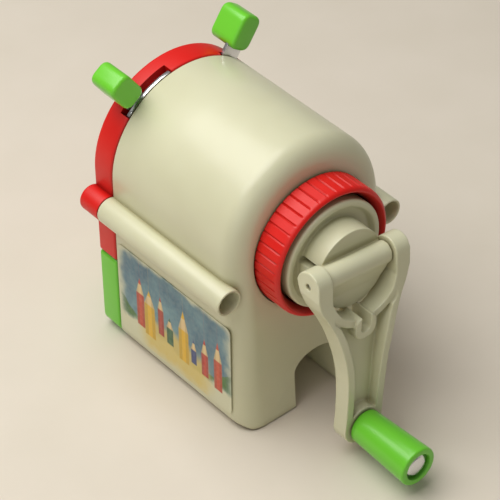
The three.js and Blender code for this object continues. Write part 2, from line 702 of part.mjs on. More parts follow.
function carriagePlate() {
  const slab = plate(archAbove(0, SPLIT_Z + 0.3), END_DEPTH, CLOSED_LENGTH, 0.6);
  const ear = [[0, END_DEPTH], [TUBE_RADIUS, END_DEPTH], [TUBE_RADIUS, 72.2], [4.1, CLOSED_LENGTH],
    [0, CLOSED_LENGTH]];
  const ears = [-TUBE_X, TUBE_X].map((x) => lathe(ear, x, TUBE_Z, ROUND));
  const recess = bar(CHUCK_RECESS, 60, RECESS_FLOOR, 0, AXIS_Z, FINE, 0);
  const bossStart = COVER_BACK + GAP;
  const bosses = screwSpots().map(([x, z]) => bar(2.6, bossStart, RECESS_FLOOR + 0.5, x, z, SMALL, 0));
  const pilots = screwSpots().map(([x, z]) => bar(1.02, 60, 70.4, x, z, SMALL, 0));
  const pinHoles = jawSpots(JAW_PIVOT).map(([x, z]) => bar(1.1 + GAP, 69, 72.2, x, z, SMALL, 0));
  const rodHoles = [-TUBE_X, TUBE_X].map((x) => bar(ROD_RADIUS + GAP, 60, 71.4, x, TUBE_Z, ROUND, 0));
  const pencil = lathe([[0, 69], [5.5, 69], [5.5, 71.6], [6.9, 73.1], [0, 73.1]]);
  const leverSlot = wedge(degrees(-45), degrees(-9), CHUCK_RECESS - 2, 40, 60, CAM_BACK + 0.5);
  const fixedSlot = wedge(degrees(27), degrees(43), CHUCK_RECESS - 2, 40, 60, COVER_BACK + 0.3);
  const body = without(joined(slab, ...ears), recess, pencil, leverSlot, fixedSlot, ...rodHoles);
  const bossed = bosses.map(toSolid).reduce((all, next) => all.add(next), body);
  return toGeometry(without(bossed, ...pilots, ...pinHoles));
}

const screwSpots = () => [0, 1, 2].map((i) => polar(SCREW_CIRCLE, degrees(120 * i)));
const jawSpots = (radius) => [0, 1, 2].map((i) => polar(radius, degrees(60 + 120 * i)));

// A steel disc with one lever arm, drawn as an x-z shape with a round hole.
function leverDisc(radius, hole, angle) {
  const reach = 43;
  const rim = degrees(14);
  const across = (r, half) => [flat(...offset(r, half, angle)), flat(...offset(r, -half, angle))];
  const [rightRoot, leftRoot] = across(radius * 0.95, 3);
  const [rightMid, leftMid] = across(26, 3);
  const [rightOut, leftOut] = across(29, 3.5);
  const [rightEnd, leftEnd] = across(reach, 3.5);
  const turn = 2 * Math.PI - 2 * rim;
  const spoke = (i) => angle + rim + (turn * i) / 30;
  const around = Array.from({ length: 31 }, (_, i) => flat(...polar(radius, spoke(i))));
  const arm = [leftRoot, leftMid, leftOut, leftEnd, rightEnd, rightOut, rightMid, rightRoot];
  const shape = new THREE.Shape([...around, ...arm]);
  shape.holes.push(new THREE.Path(arc(0, AXIS_Z, hole, hole, 0, 2 * Math.PI, 32).slice(0, -1)));
  return shape;
}

// A point at a radius along a spoke, and off to one side of it.
function offset(radius, aside, angle) {
  const [x, z] = polar(radius, angle);
  return [x + aside * Math.cos(angle), z - aside * Math.sin(angle)];
}

// The fixed steel plate, with a guard that closes the front of the moving lever's slot.
function chuckBasePlate() {
  const disc = plate(leverDisc(22.5, 5.3, TAB_ANGLE), COVER_FRONT, COVER_BACK);
  const guard = shared(
    wedge(degrees(-44.3), degrees(-9.7), 20, 40, COVER_FRONT, COVER_BACK),
    bar(HALF_WIDTH - 0.5, 60, 70, 0, ARCH_Z, FINE, 0),
  );
  const collar = hollowBar(6.3, 5.3, COVER_BACK - 0.4, CAM_BACK + 0.2);
  const holes = screwSpots().map(([x, z]) => bar(1.3, 60, 70, x, z, SMALL, 0));
  return toGeometry(without(joined(disc, collar).add(guard), ...holes));
}

function chuckScrew([x, z]) {
  const top = COVER_FRONT - GAP;
  return lathe([[0, top - 0.4], [1.6, top - 0.4], [2, top], [1, top], [1, 69], [0, 70]], x, z, SMALL);
}

function camRing() {
  const disc = plate(leverDisc(15.2, 6.4, -TAB_ANGLE), CAM_FRONT, CAM_BACK);
  const stud = ([x, z]) => bar(1, CAM_BACK - 0.5, JAW_BACK - 0.2, x, z, SMALL, 0.1);
  const studs = jawSpots(JAW_STUD).map(stud);
  return toGeometry(joined(disc, ...studs));
}

function jawPin([x, z]) {
  return bar(1.1, JAW_FRONT - 0.3, 72, x, z, SMALL, 0.15);
}

// A jaw reaches in from its pin to the pencil, and a slot lets the cam's stud swing it.
function jaw(angle) {
  const at = (radius, aside) => flat(...offset(radius, aside, angle));
  const head = Array.from({ length: 13 }, (_, i) => {
    const a = angle - Math.PI / 2 + (Math.PI * i) / 12;
    const [x, z] = polar(JAW_PIVOT, angle);
    return flat(x + 3 * Math.sin(a), z + 3 * Math.cos(a));
  });
  const nose = [at(12, 2.9), at(7, 2.4), at(4.8, 1.3), at(4.5, 0),
    at(4.8, -1.3), at(7, -2.4), at(12, -2.9)];
  const outline = [...head, ...nose];
  const [px, pz] = polar(JAW_PIVOT, angle);
  const slot = [at(6.9, 1.25), at(10.4, 1.25), at(10.4, -1.25), at(6.9, -1.25)];
  const pinHole = bar(1.16, 66, 71, px, pz, SMALL, 0);
  return toGeometry(without(joined(plate(outline, JAW_FRONT, JAW_BACK)), pinHole, plate(slot, 66, 71)));
}

// A green finger tab pressed onto the end of a lever arm.
function leverTab(angle, armFront, armBack) {
  const block = roundedRect(-4.2, 4.2, AXIS_Z + TAB_INNER, AXIS_Z + TAB_OUTER, 2.6, 5);
  const body = plate(block, 62, 73.4, 0.9);
  const [slotLow, slotHigh] = [AXIS_Z + 30, AXIS_Z + 43.1];
  const slot = [flat(-3.52, slotLow), flat(3.52, slotLow), flat(3.52, slotHigh), flat(-3.52, slotHigh)];
  return turned(toGeometry(without(joined(body), plate(slot, armFront - GAP, armBack + GAP))), angle);
}

function guideRod(x) {
  return bar(ROD_RADIUS, ROD_FRONT, 71.3, x, TUBE_Z, ROUND, 0.3);
}

function rodStop(x) {
  return hollowBar(3.7, ROD_RADIUS + GAP, ROD_FRONT, ROD_FRONT + 2.8, x, TUBE_Z, ROUND);
}

// A coil of round wire from one point to another.
class Coil extends THREE.Curve {
  constructor(from, to, radius, turns) {
    super();
    Object.assign(this, { from, to, radius, turns });
    this.along = to.clone().sub(from).normalize();
    const aside = Math.abs(this.along.z) > 0.9 ? new THREE.Vector3(1, 0, 0) : new THREE.Vector3(0, 0, 1);
    this.u = new THREE.Vector3().crossVectors(this.along, aside).normalize();
    this.v = new THREE.Vector3().crossVectors(this.along, this.u);
  }

  getPoint(t, target = new THREE.Vector3()) {
    const a = t * this.turns * 2 * Math.PI;
    return target
      .lerpVectors(this.from, this.to, t)
      .addScaledVector(this.u, this.radius * Math.cos(a))
      .addScaledVector(this.v, this.radius * Math.sin(a));
  }
}

function spring(from, to, radius, wire, turns, stepsPerTurn) {
  const section = new THREE.Shape(arc(0, 0, wire, wire, 0, 2 * Math.PI, 5).slice(0, -1));
  return new THREE.ExtrudeGeometry(section, {
    extrudePath: new Coil(from, to, radius, turns),
    steps: turns * stepsPerTurn,
    bevelEnabled: false,
  });
}

function feedSpring(x) {
  const from = new THREE.Vector3(x, ROD_FRONT + 3.3, TUBE_Z);
  const to = new THREE.Vector3(x, TUBE_SHOULDER - 0.5, TUBE_Z);
  return spring(from, to, 3, 0.35, 8, 9);
}

function leverSpring() {
  const end = (angle) => {
    const [x, z] = polar(27.5, angle);
    return new THREE.Vector3(x, (COVER_BACK + CAM_BACK + 0.5) / 2, z);
  };
  return spring(end(degrees(-27.9)), end(degrees(-10.5)), 0.85, 0.22, 4, 8);
}

function drawer() {
  const front = plate(drawerOutline(), END_DEPTH, CLOSED_LENGTH, 0.6);
  const box = plate(roundedRect(-26.5, 26.5, 4.7, SPLIT_Z - 1, 1.5), NOTCH_DEPTH + 4.5, END_DEPTH + 1);
  const [trayFront, trayBack, trayFloor] = [NOTCH_DEPTH + 6.3, CLOSED_LENGTH - 2.4, 6.4];
  const inside = [flat(trayFront, trayFloor), flat(trayBack, trayFloor), flat(trayBack, SPLIT_Z - 3),
    flat(END_DEPTH, SPLIT_Z - 3), flat(END_DEPTH, 40), flat(trayFront, 40)];
  return toGeometry(without(joined(front, box), sidePlate(inside, -24.7, 24.7)));
}

function drawerOutline() {
  const r = FOOT_RADIUS;
  const low = PAD_PROUD + 0.2 + r;
  return [
    ...arc(HALF_WIDTH - r, low, r, r, -Math.PI / 2, 0, 3),
    flat(HALF_WIDTH, SPLIT_Z),
    flat(-HALF_WIDTH, SPLIT_Z),
    ...arc(-HALF_WIDTH + r, low, r, r, Math.PI, 1.5 * Math.PI, 3),
  ];
}

// ---- every piece --------------------------------------------------------------------------

piece('housing', 'cream', housing());
piece('base_pad', 'rubber', basePad());
piece('side_label_left', 'label', sideLabel(-1));
piece('side_label_right', 'label', sideLabel(1));
piece('bulkhead', 'nylon', bulkhead());
piece('ring_gear', 'nylon', ringGear());
BOSSES.forEach((spot, i) => piece(`bulkhead_screw_${i + 1}`, 'steel', bulkheadScrew(spot)));

piece('cutter_carrier', 'nylon', cutterCarrier());
piece('point_stop', 'brass', pointStop());
piece('cutter_axle', 'steel', cutterAxle());
piece('helical_cutter', 'steel', helicalCutter());
piece('cutter_pinion', 'brass', cutterPinion());
piece('lock_ring', 'red', lockRing());

piece('crank_hub', 'cream', crankHub());
piece('crank_arm', 'cream', crankArm());
piece('hinge_pin', 'steel', hingePin());
piece('knob_axle', 'steel', knobAxle());
piece('crank_knob', 'green', crankKnob());

piece('carriage_plate', 'red', carriagePlate());
for (const [side, x] of [['left', -TUBE_X], ['right', TUBE_X]]) {
  piece(`guide_rod_${side}`, 'steel', guideRod(x));
  piece(`rod_stop_${side}`, 'steel', rodStop(x));
  piece(`feed_spring_${side}`, 'steel', feedSpring(x));
}
piece('chuck_base_plate', 'steel', chuckBasePlate());
screwSpots().forEach((spot, i) => piece(`chuck_screw_${i + 1}`, 'steel', chuckScrew(spot)));
jawSpots(JAW_PIVOT).forEach((spot, i) => piece(`jaw_pin_${i + 1}`, 'steel', jawPin(spot)));
piece('fixed_tab', 'green', leverTab(TAB_ANGLE, COVER_FRONT, COVER_BACK));
piece('cam_ring', 'steel', camRing());
piece('moving_tab', 'green', leverTab(-TAB_ANGLE, CAM_FRONT, CAM_BACK));
piece('lever_spring', 'steel', leverSpring());
[0, 1, 2].forEach((i) => piece(`jaw_${i + 1}`, 'brass', jaw(degrees(60 + 120 * i))));
piece('drawer', 'green', drawer());

export default group;
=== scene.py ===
"""Looks for the crank pencil sharpener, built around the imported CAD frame.

Working units are millimetres and "depth", measured from the foot of the crank face towards the
pencil end. make() turns them into the frame's metres. The shapes follow the CAD pieces they stand for.
"""

import json
import math

import bmesh
import bpy
import numpy as np
from mathutils import Matrix, Vector


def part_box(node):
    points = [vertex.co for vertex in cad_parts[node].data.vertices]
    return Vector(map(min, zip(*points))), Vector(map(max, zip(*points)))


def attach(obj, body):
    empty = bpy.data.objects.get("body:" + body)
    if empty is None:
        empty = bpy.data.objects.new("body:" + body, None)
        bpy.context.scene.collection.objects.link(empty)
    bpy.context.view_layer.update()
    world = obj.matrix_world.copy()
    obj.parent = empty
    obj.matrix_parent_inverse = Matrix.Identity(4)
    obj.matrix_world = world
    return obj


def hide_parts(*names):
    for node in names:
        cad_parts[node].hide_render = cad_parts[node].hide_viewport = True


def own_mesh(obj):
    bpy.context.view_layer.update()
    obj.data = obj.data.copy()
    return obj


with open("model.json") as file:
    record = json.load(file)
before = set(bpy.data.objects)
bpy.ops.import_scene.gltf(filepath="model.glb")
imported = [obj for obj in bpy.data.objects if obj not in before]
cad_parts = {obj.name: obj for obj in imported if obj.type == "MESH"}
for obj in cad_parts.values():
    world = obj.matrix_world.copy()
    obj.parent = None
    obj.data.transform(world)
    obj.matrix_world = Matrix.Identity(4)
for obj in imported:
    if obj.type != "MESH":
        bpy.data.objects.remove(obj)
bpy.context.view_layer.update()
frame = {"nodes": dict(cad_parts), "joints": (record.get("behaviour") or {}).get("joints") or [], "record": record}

MM = 0.001
RECORD = frame["record"]
JOINTS = {j["name"]: j for j in frame["joints"]}
NODE_BODY = {n: body for body, nodes in RECORD["behaviour"]["bodies"].items() for n in nodes}
NODE_SLOT = {row["node"]: row["material_slot"] for row in RECORD["subparts"]}

CLOSED = 2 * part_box("drawer")[1].y / MM  # the length of housing and drawer together


def span(node):
    """Lowest and highest corner of a CAD node in millimetres, with depth in place of y."""
    low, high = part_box(node)
    shift = Vector((0, CLOSED / 2, 0))
    return Vector(low) / MM + shift, Vector(high) / MM + shift


# ---- dimensions ------------------------------------------------------------------------------

HALF_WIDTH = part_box("drawer")[1].x / MM
AXIS_Z = JOINTS["crank_spin"]["pos_m"][2] / MM
ARCH_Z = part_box("carriage_plate")[1].z / MM - HALF_WIDTH
BODY_LENGTH = span("housing")[1].y
SPLIT_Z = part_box("drawer")[1].z / MM  # the top of the drawer's front
PAD_PROUD = 0.6  # the shell stands this far above the table, on its pad
LEAN = math.tan(math.radians(3.5))  # the crank face leans back as it rises
LEAN_LENGTH = 40  # the depth where the lean has faded out
EDGE = 7.6  # rounding round the crank face
FOOT = 4.5  # rounding along the foot
WALL = 3.6
MOUTH_WALL = 2.2  # the wall from the bulkhead to the open end
FLOOR = 2.4  # the thickness of the housing's floor
BULKHEAD_DEPTH = 56.8
END_DEPTH = BODY_LENGTH + 0.3  # where the end plates of drawer and carriage start

TUBE_X = 33
TUBE_Z = (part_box("guide_rod_left")[0].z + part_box("guide_rod_left")[1].z) / 2 / MM
TUBE_RADIUS = 4.6
TUBE_BORE = 3.8
TUBE_BORE_END = 60  # from here on the tube has only a hole for the rod
TUBE_ROD_HOLE = 2.3
TUBE_FRONT = TUBE_Z * LEAN + 0.4  # just proud of the leaning crank face

RING_LOW, RING_HIGH = span("lock_ring")
RING_RADIUS = (RING_HIGH.x - RING_LOW.x) / 2
RING_BORE = 19.4
RING_SLATS = 42
SLAT_STEPS = 16
GROOVE_SHARE = 0.125  # of the pitch between slats, on each side of a groove
GROOVE_DEPTH = 0.4
RING_SEAT = RING_HIGH.y + 0.02
JOURNAL_RADIUS = 13.58  # the hole the cutter carrier turns in
COLLAR_FRONT = 1.8
COLLAR_BACK = 8.6

NOTCH_HALF = 9
NOTCH_SPRING_Z = 13.6  # where the notch's straight sides end
NOTCH_TOP_Z = 19.3
NOTCH_DEPTH = 25
NOTCH_LIP = 0.9

# The bulkhead's four screws, as (x, z), and the bosses they go into
SCREW_SPOTS = [(side * x, z) for x, z in ((25.2, 38.3), (18.4, 84.4)) for side in (1, -1)]
BOSS_RADIUS = 3
BOSS_FRONT = 44
PILOT_HOLE = 1.05

TRAY_HALF = 26.5  # half the width of the drawer's tray
TRAY_FLOOR_Z = 4.7
TRAY_FRONT = NOTCH_DEPTH + 4.5
TRAY_WALL = 1.8
TRAY_FLOOR = 1.7

HUB_RADIUS = 18.8
HUB_BACK = 1.4
HUB_FRONT = -6.8
HUB_DISH = -5.0
HUB_RIM_INNER = 15.6
CROWN_RADIUS = 12.6  # the upper half of the hub's raised middle
CROWN_FRONT = -13.3
LOWER_RADIUS = 12.3  # its lower half stands further out
LOWER_FRONT = -17.5
SPIGOT_RADIUS = 6
PIN_HOLE = 1.05

KNOB_POS = Vector(JOINTS["knob_spin"]["pos_m"]) / MM
FOLD_AXIS = Vector(JOINTS["crank_fold"]["axis"])
REST_TURN = math.atan2(FOLD_AXIS.z, -FOLD_AXIS.x)
CRANK_SHIFT = -1.0  # the hinge, arm and knob sit a little to one side of the crank axis
CRANK_RADIUS = math.sqrt(KNOB_POS.x ** 2 + (AXIS_Z - KNOB_POS.z) ** 2 - CRANK_SHIFT ** 2)
KNOB_LOW, KNOB_HIGH = span("crank_knob")
KNOB_RADIUS = (KNOB_HIGH.x - KNOB_LOW.x) / 2
KNOB_NARROW = 5.8  # the knob's radius beside the arm
KNOB_HOLE = 1.58
SOCKET_RADIUS = 4.7
SOCKET_DEPTH = 1.7
AXLE_RADIUS = 1.5
RIVET_RADIUS = 4.1
RIVET_HEIGHT = 1.4
HINGE_DEPTH = JOINTS["crank_fold"]["pos_m"][1] / MM + CLOSED / 2
HINGE_RISE = 2.3
HINGE_Z = AXIS_Z + HINGE_RISE
KNOB_Z = AXIS_Z - CRANK_RADIUS
BARREL_RADIUS = 3.7
BARREL_HALF = 12.4
EAR_INNER = 13.0
EAR_OUTER = 18.7
EAR_RADIUS = 5
ARM_HALF = 7.7
ARM_END = 6.8  # how far the arm's round end goes below the knob's axis
ARM_WALL = 2.9
ARM_WEB = 2.0
ARM_FRONT = -28
ARM_BACK = -22.4
SADDLE_INNER = 13.3
SADDLE_OUTER = 16.0
SADDLE_FRONT = -23.4
CLIP_HALF = 4.3
CLIP_SLOT_HALF = 1.9

CHUCK_RECESS = 24
RECESS_FLOOR = 70.5
ROD_HOLE = 2.02
PENCIL_HOLE = 5.5
PENCIL_MOUTH = 7.2
CHUCK_SCREW_CIRCLE = 20.5
CHUCK_SCREW_BOSS = 2.6
CHUCK_SCREW_HOLE = 1.02
JAW_PIN_CIRCLE = 17
JAW_PIN_HOLE = 1.12
TAB_HALF_WIDTH = 4.2
TAB_HALF_HEIGHT = 6.1
TAB_SLOT_HALF = 3.52
TAB_SLOT_LOW = 30  # from the crank axis
TAB_SLOT_HIGH = 43.1

FINE_EDGES = ("spring", "screw", "pin", "label")  # too small for a wide rounded edge
EDGE_WIDTH = 0.12


# ---- mesh tools ------------------------------------------------------------------------------

def make(name, points, faces):
    """A mesh object from points given as (x, depth, z) in millimetres."""
    mesh = bpy.data.meshes.new(name)
    mesh.from_pydata([(x * MM, (d - CLOSED / 2) * MM, z * MM) for x, d, z in points], [], faces)
    obj = bpy.data.objects.new(name, mesh)
    bpy.context.scene.collection.objects.link(obj)
    return outward(obj)


def edit(obj, change):
    """Runs change on the object's mesh as a bmesh."""
    work = bmesh.new()
    work.from_mesh(obj.data)
    change(work)
    work.to_mesh(obj.data)
    work.free()
    return obj


def outward(obj):
    """Turns every face to the outside."""
    return edit(obj, lambda work: bmesh.ops.recalc_face_normals(work, faces=work.faces))


def apply_modifiers(obj):
    """Makes what the object's modifiers do part of its mesh."""
    graph = bpy.context.evaluated_depsgraph_get()
    mesh = bpy.data.meshes.new_from_object(obj.evaluated_get(graph))
    obj.modifiers.clear()
    obj.data = mesh
    return obj


def loft(name, rings):
    """A closed skin through rings of equal length, with flat ends."""
    count = len(rings[0])
    points = [p for ring in rings for p in ring]
    faces = [
        (r * count + i, r * count + (i + 1) % count, (r + 1) * count + (i + 1) % count, (r + 1) * count + i)
        for r in range(len(rings) - 1)
        for i in range(count)
    ]
    last = (len(rings) - 1) * count
    faces.append(tuple(range(count)))
    faces.append(tuple(range(last, last + count)))
    return make(name, points, faces)


def lathe(name, profile, x=0.0, z=None, steps=96):
    """A body turned about a line along the crank axis. The profile is a closed loop of (radius, depth)."""
    centre = AXIS_Z if z is None else z
    points = []
    index = {}
    for k, (radius, depth) in enumerate(profile):
        for i in range(steps if radius > 1e-6 else 1):
            a = 2 * math.pi * i / steps
            index[k, i] = len(points)
            points.append((x + radius * math.cos(a), depth, centre + radius * math.sin(a)))

    def at(k, i):
        return index[k, i % steps] if profile[k][0] > 1e-6 else index[k, 0]

    faces = []
    for k in range(len(profile)):
        n = (k + 1) % len(profile)
        if profile[k][0] < 1e-6 and profile[n][0] < 1e-6:
            continue
        for i in range(steps):
            corners = [at(k, i), at(k, i + 1), at(n, i + 1), at(n, i)]
            faces.append(tuple(dict.fromkeys(corners)))
    return make(name, points, faces)


def fillet(corners, radius, steps=5):
    """Rounds every corner of a closed outline. A corner may carry its own radius as a third number."""
    rounded = []
    count = len(corners)
    for i, corner in enumerate(corners):
        here = Vector(corner[:2])
        reach = corner[2] if len(corner) > 2 else radius
        back = Vector(corners[i - 1][:2]) - here
        ahead = Vector(corners[(i + 1) % count][:2]) - here
        bend = back.angle(ahead) if back.length * ahead.length > 1e-9 else math.pi
        if reach < 1e-6 or bend > math.radians(176):
            rounded.append(tuple(here))
            continue
        trim = min(reach / math.tan(bend / 2), 0.48 * back.length, 0.48 * ahead.length)
        start = here + back.normalized() * trim
        end = here + ahead.normalized() * trim
        for k in range(steps + 1):
            t = k / steps
            rounded.append(tuple(start * (1 - t) ** 2 + here * 2 * t * (1 - t) + end * t * t))
    return rounded


def prism(name, outline, start, end):
    """An x-z outline carried along the crank axis."""
    return loft(name, [[(x, depth, z) for x, z in outline] for depth in (start, end)])


def side_prism(name, outline, left, right):
    """A depth-z outline carried across from left to right."""
    return loft(name, [[(x, depth, z) for depth, z in outline] for x in (left, right)])


def arc(x, z, radius, start, end, steps):
    """Outline points round a centre, angles in degrees anticlockwise from +x."""
    angles = np.radians(np.linspace(start, end, steps + 1))
    return [(x + radius * math.cos(a), z + radius * math.sin(a)) for a in angles]


def rounded_box(x0, x1, z0, z1, radius, steps=8):
    """The outline of a box with rounded corners."""
    return fillet([(x1, z0), (x1, z1), (x0, z1), (x0, z0)], radius, steps)


def drum(name, radius, start, end, x=0.0, z=None, edge=0.3, steps=64):
    """A round bar along the crank axis, with rounded rims."""
    profile = fillet([(0, start, 0), (radius, start, edge), (radius, end, edge), (0, end, 0)], 0, 4)
    return lathe(name, profile, x, z, steps)


def combine(obj, others, operation):
    """Joins, cuts or intersects obj with other meshes, which are used up."""
    for other in others:
        step = obj.modifiers.new("combine", "BOOLEAN")
        step.operation = operation
        step.solver = "MANIFOLD"
        step.object = other
    apply_modifiers(obj)
    for other in others:
        bpy.data.objects.remove(other)
    return obj


def join(obj, *others):
    return combine(obj, others, "UNION")


def cut(obj, *others):
    return combine(obj, others, "DIFFERENCE")


def share(obj, other):
    return combine(obj, [other], "INTERSECT")


def soften(obj, voxel, rounds):
    """Melts hard edges and inside corners together, as a moulding has them."""
    melt = obj.modifiers.new("melt", "REMESH")
    melt.mode = "VOXEL"
    melt.voxel_size = voxel * MM
    smooth = obj.modifiers.new("smooth", "SMOOTH")
    smooth.factor = 0.5
    smooth.iterations = rounds
    apply_modifiers(obj)
    obj.data.shade_smooth()
    return obj


def shade(obj, sharp=35):
    """Smooth shading with a hard line only at edges sharper than this angle."""
    limit = math.radians(sharp)

    def mark(work):
        for face in work.faces:
            face.smooth = True
        for edge in work.edges:
            edge.smooth = len(edge.link_faces) == 2 and edge.calc_face_angle(0) < limit

    return edit(obj, mark)


def bevel(obj, width, segments=3, angle=40):
    """Rounds every edge sharper than the angle."""
    step = obj.modifiers.new("bevel", "BEVEL")
    step.width = width * MM
    step.segments = segments
    step.limit_method = "ANGLE"
    step.angle_limit = math.radians(angle)
    step.miter_outer = "MITER_ARC"
    apply_modifiers(obj)
    return shade(obj)


def turned(obj, angle=None, shift=0.0):
    """Moves a piece sideways, then turns it about the crank axis to its place at rest."""
    pivot = Vector((0, 0, AXIS_Z * MM))
    turn = Matrix.Rotation(REST_TURN if angle is None else angle, 4, "Y")
    moved = Matrix.Translation(Vector((shift * MM, 0, 0)) - pivot)
    obj.data.transform(Matrix.Translation(pivot) @ turn @ moved)
    return obj


def refined(node, width):
    """A copy of a CAD node with its flat faces merged and its edges rounded."""
    source = frame["nodes"][node]
    obj = bpy.data.objects.new(node + "_skin", source.data.copy())
    bpy.context.scene.collection.objects.link(obj)
    if obj.data.has_custom_normals:
        obj.data.normals_split_custom_set([(0, 0, 0)] * len(obj.data.loops))

    def merge(work):
        bmesh.ops.remove_doubles(work, verts=work.verts, dist=0.002 * MM)
        bmesh.ops.dissolve_limit(
            work, angle_limit=math.radians(0.5), verts=work.verts, edges=work.edges, delimit={"NORMAL"}
        )

    edit(obj, merge)
    return bevel(obj, width, 2, 50) if width else shade(obj)


def place(obj, node, material):
    """Hands a finished piece to the body of the CAD node it stands for."""
    obj.name = node + "_skin"
    obj.data.materials.clear()
    obj.data.materials.append(material)
    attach(obj, NODE_BODY[node])
    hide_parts(node)
    return obj


# ---- the body --------------------------------------------------------------------------------

def arch(inset, foot_inset, steps=72):
    """The body's outline seen from the crank end, drawn in all round."""
    half = HALF_WIDTH - inset
    low = PAD_PROUD + foot_inset
    r = max(FOOT - inset, 0.8)
    right_foot = arc(half - r, low + r, r, -90, 0, 6)
    left_foot = arc(-half + r, low + r, r, 180, 270, 6)
    return right_foot + arc(0, ARCH_Z, half, 0, 180, steps) + left_foot


def arch_above(inset, low, steps=72):
    """The upper part of the body's outline, cut off level at low."""
    half = HALF_WIDTH - inset
    return [(half, low)] + arc(0, ARCH_Z, half, 0, 180, steps) + [(-half, low)]


def leaning(outline, depth):
    """A ring of points at a depth, leaning back with the crank face."""
    still = max(0, 1 - depth / LEAN_LENGTH)
    return [(x, depth + z * LEAN * still, z) for x, z in outline]


def rounded_front(radius, inset, start, steps):
    """Rings that round the body's outline over into the crank face."""
    rings = []
    for i in range(steps + 1):
        a = math.pi / 2 * i / steps
        outline = arch(inset + radius * (1 - math.sin(a)), inset)
        rings.append(leaning(outline, start + radius * (1 - math.cos(a))))
    return rings


def notch(grow):
    """The outline of the notch under the crank, for the edge of a bench clamp or a finger."""
    half = NOTCH_HALF + grow
    rise = NOTCH_TOP_Z - NOTCH_SPRING_Z + grow
    angles = np.radians(np.linspace(0, 180, 33))
    crown = [(half * math.cos(a), NOTCH_SPRING_Z + rise * math.sin(a)) for a in angles]
    return [(-half, -1), (half, -1)] + crown


def notch_tool():
    """Cuts the notch with a soft lip where it meets the leaning crank face."""
    rings = [leaning(notch(NOTCH_LIP), -2)]
    for i in range(7):
        a = math.pi / 2 * i / 6
        rings.append(leaning(notch(NOTCH_LIP * (1 - math.sin(a))), NOTCH_LIP * (1 - math.cos(a))))
    rings.append([(x, NOTCH_DEPTH, z) for x, z in notch(0)])
    return loft("notch", rings)


def guide_tube(x):
    profile = [(0, TUBE_FRONT, 0), (TUBE_RADIUS, TUBE_FRONT, 0.5),
               (TUBE_RADIUS, BODY_LENGTH, 0.3), (0, BODY_LENGTH, 0)]
    return lathe("tube", fillet(profile, 0, 5), x, TUBE_Z, 64)


def tube_bore(x):
    """The open front of a guide tube, with a rounded lip, and the narrow hole for its rod."""
    beyond = BODY_LENGTH + 2
    profile = [(0, -2), (TUBE_BORE + 0.7, -2), (TUBE_BORE + 0.6, TUBE_FRONT),
               (TUBE_BORE + 0.12, TUBE_FRONT + 0.15), (TUBE_BORE, TUBE_FRONT + 0.6),
               (TUBE_BORE, TUBE_BORE_END), (TUBE_ROD_HOLE, TUBE_BORE_END),
               (TUBE_ROD_HOLE, beyond), (0, beyond)]
    return lathe("bore", profile, x, TUBE_Z, 48)


def pipe(name, outer, inner, start, end, x=0.0, z=None, steps=96):
    return lathe(name, [(inner, start), (outer, start), (outer, end), (inner, end)], x, z, steps)


def housing():
    outer = rounded_front(EDGE, 0, 0, 12)
    outer += [leaning(arch(0, 0), LEAN_LENGTH), leaning(arch(0, 0), BODY_LENGTH - 0.5)]
    outer += [leaning(arch(0.15, 0.15), BODY_LENGTH - 0.15), leaning(arch(0.5, 0.5), BODY_LENGTH)]
    hollow = rounded_front(EDGE - WALL, WALL, WALL, 4)
    hollow += [leaning(arch(WALL, FLOOR), LEAN_LENGTH), leaning(arch(WALL, FLOOR), BULKHEAD_DEPTH)]
    mouth = [leaning(arch(MOUTH_WALL, FLOOR), BULKHEAD_DEPTH - 0.1),
             leaning(arch(MOUTH_WALL, FLOOR), BODY_LENGTH + 2)]
    body = join(loft("housing", outer), *[guide_tube(x) for x in (-TUBE_X, TUBE_X)])
    cut(body, loft("hollow", hollow))
    cut(body, loft("mouth", mouth))
    join(body, prism("tunnel", [(x, max(z, 2)) for x, z in notch(2)], 3, NOTCH_DEPTH + 2))
    cut(body, pipe("seat", RING_RADIUS + 0.5, RING_BORE - 0.5, -2, RING_SEAT))
    join(body, pipe("collar", RING_BORE - 0.5, JOURNAL_RADIUS - 1, COLLAR_FRONT, COLLAR_BACK))
    join(body, *[drum("boss", BOSS_RADIUS, BOSS_FRONT, BULKHEAD_DEPTH, x, z, 0, 32) for x, z in SCREW_SPOTS])
    cut(body, notch_tool(), drum("journal", JOURNAL_RADIUS, -4, 12, edge=0, steps=96))
    cut(body, *[tube_bore(x) for x in (-TUBE_X, TUBE_X)])
    cut(body, *[drum("pilot", PILOT_HOLE, BOSS_FRONT + 3, 58, x, z, 0, 24) for x, z in SCREW_SPOTS])
    return shade(body, 30)


def drawer():
    low = PAD_PROUD + 0.2
    foot_right = arc(HALF_WIDTH - FOOT, low + FOOT, FOOT, -90, 0, 8)
    foot_left = arc(-HALF_WIDTH + FOOT, low + FOOT, FOOT, 180, 270, 8)
    outline = foot_right + [(HALF_WIDTH, SPLIT_Z), (-HALF_WIDTH, SPLIT_Z)] + foot_left
    front = bevel(prism("drawer", outline, END_DEPTH, CLOSED), 1.2, 5)
    tray = rounded_box(-TRAY_HALF, TRAY_HALF, TRAY_FLOOR_Z, SPLIT_Z - 1, 1.5)
    join(front, prism("tray", tray, TRAY_FRONT, END_DEPTH + 2))
    near = TRAY_FRONT + TRAY_WALL
    far = CLOSED - 2.4
    floor_z = TRAY_FLOOR_Z + TRAY_FLOOR
    inside = [(near, floor_z), (far, floor_z), (far, SPLIT_Z - 3),
              (END_DEPTH, SPLIT_Z - 3), (END_DEPTH, SPLIT_Z + 2), (near, SPLIT_Z + 2)]
    cut(front, side_prism("inside", inside, TRAY_WALL - TRAY_HALF, TRAY_HALF - TRAY_WALL))
    return shade(front, 30)


# ---- the lock ring ---------------------------------------------------------------------------

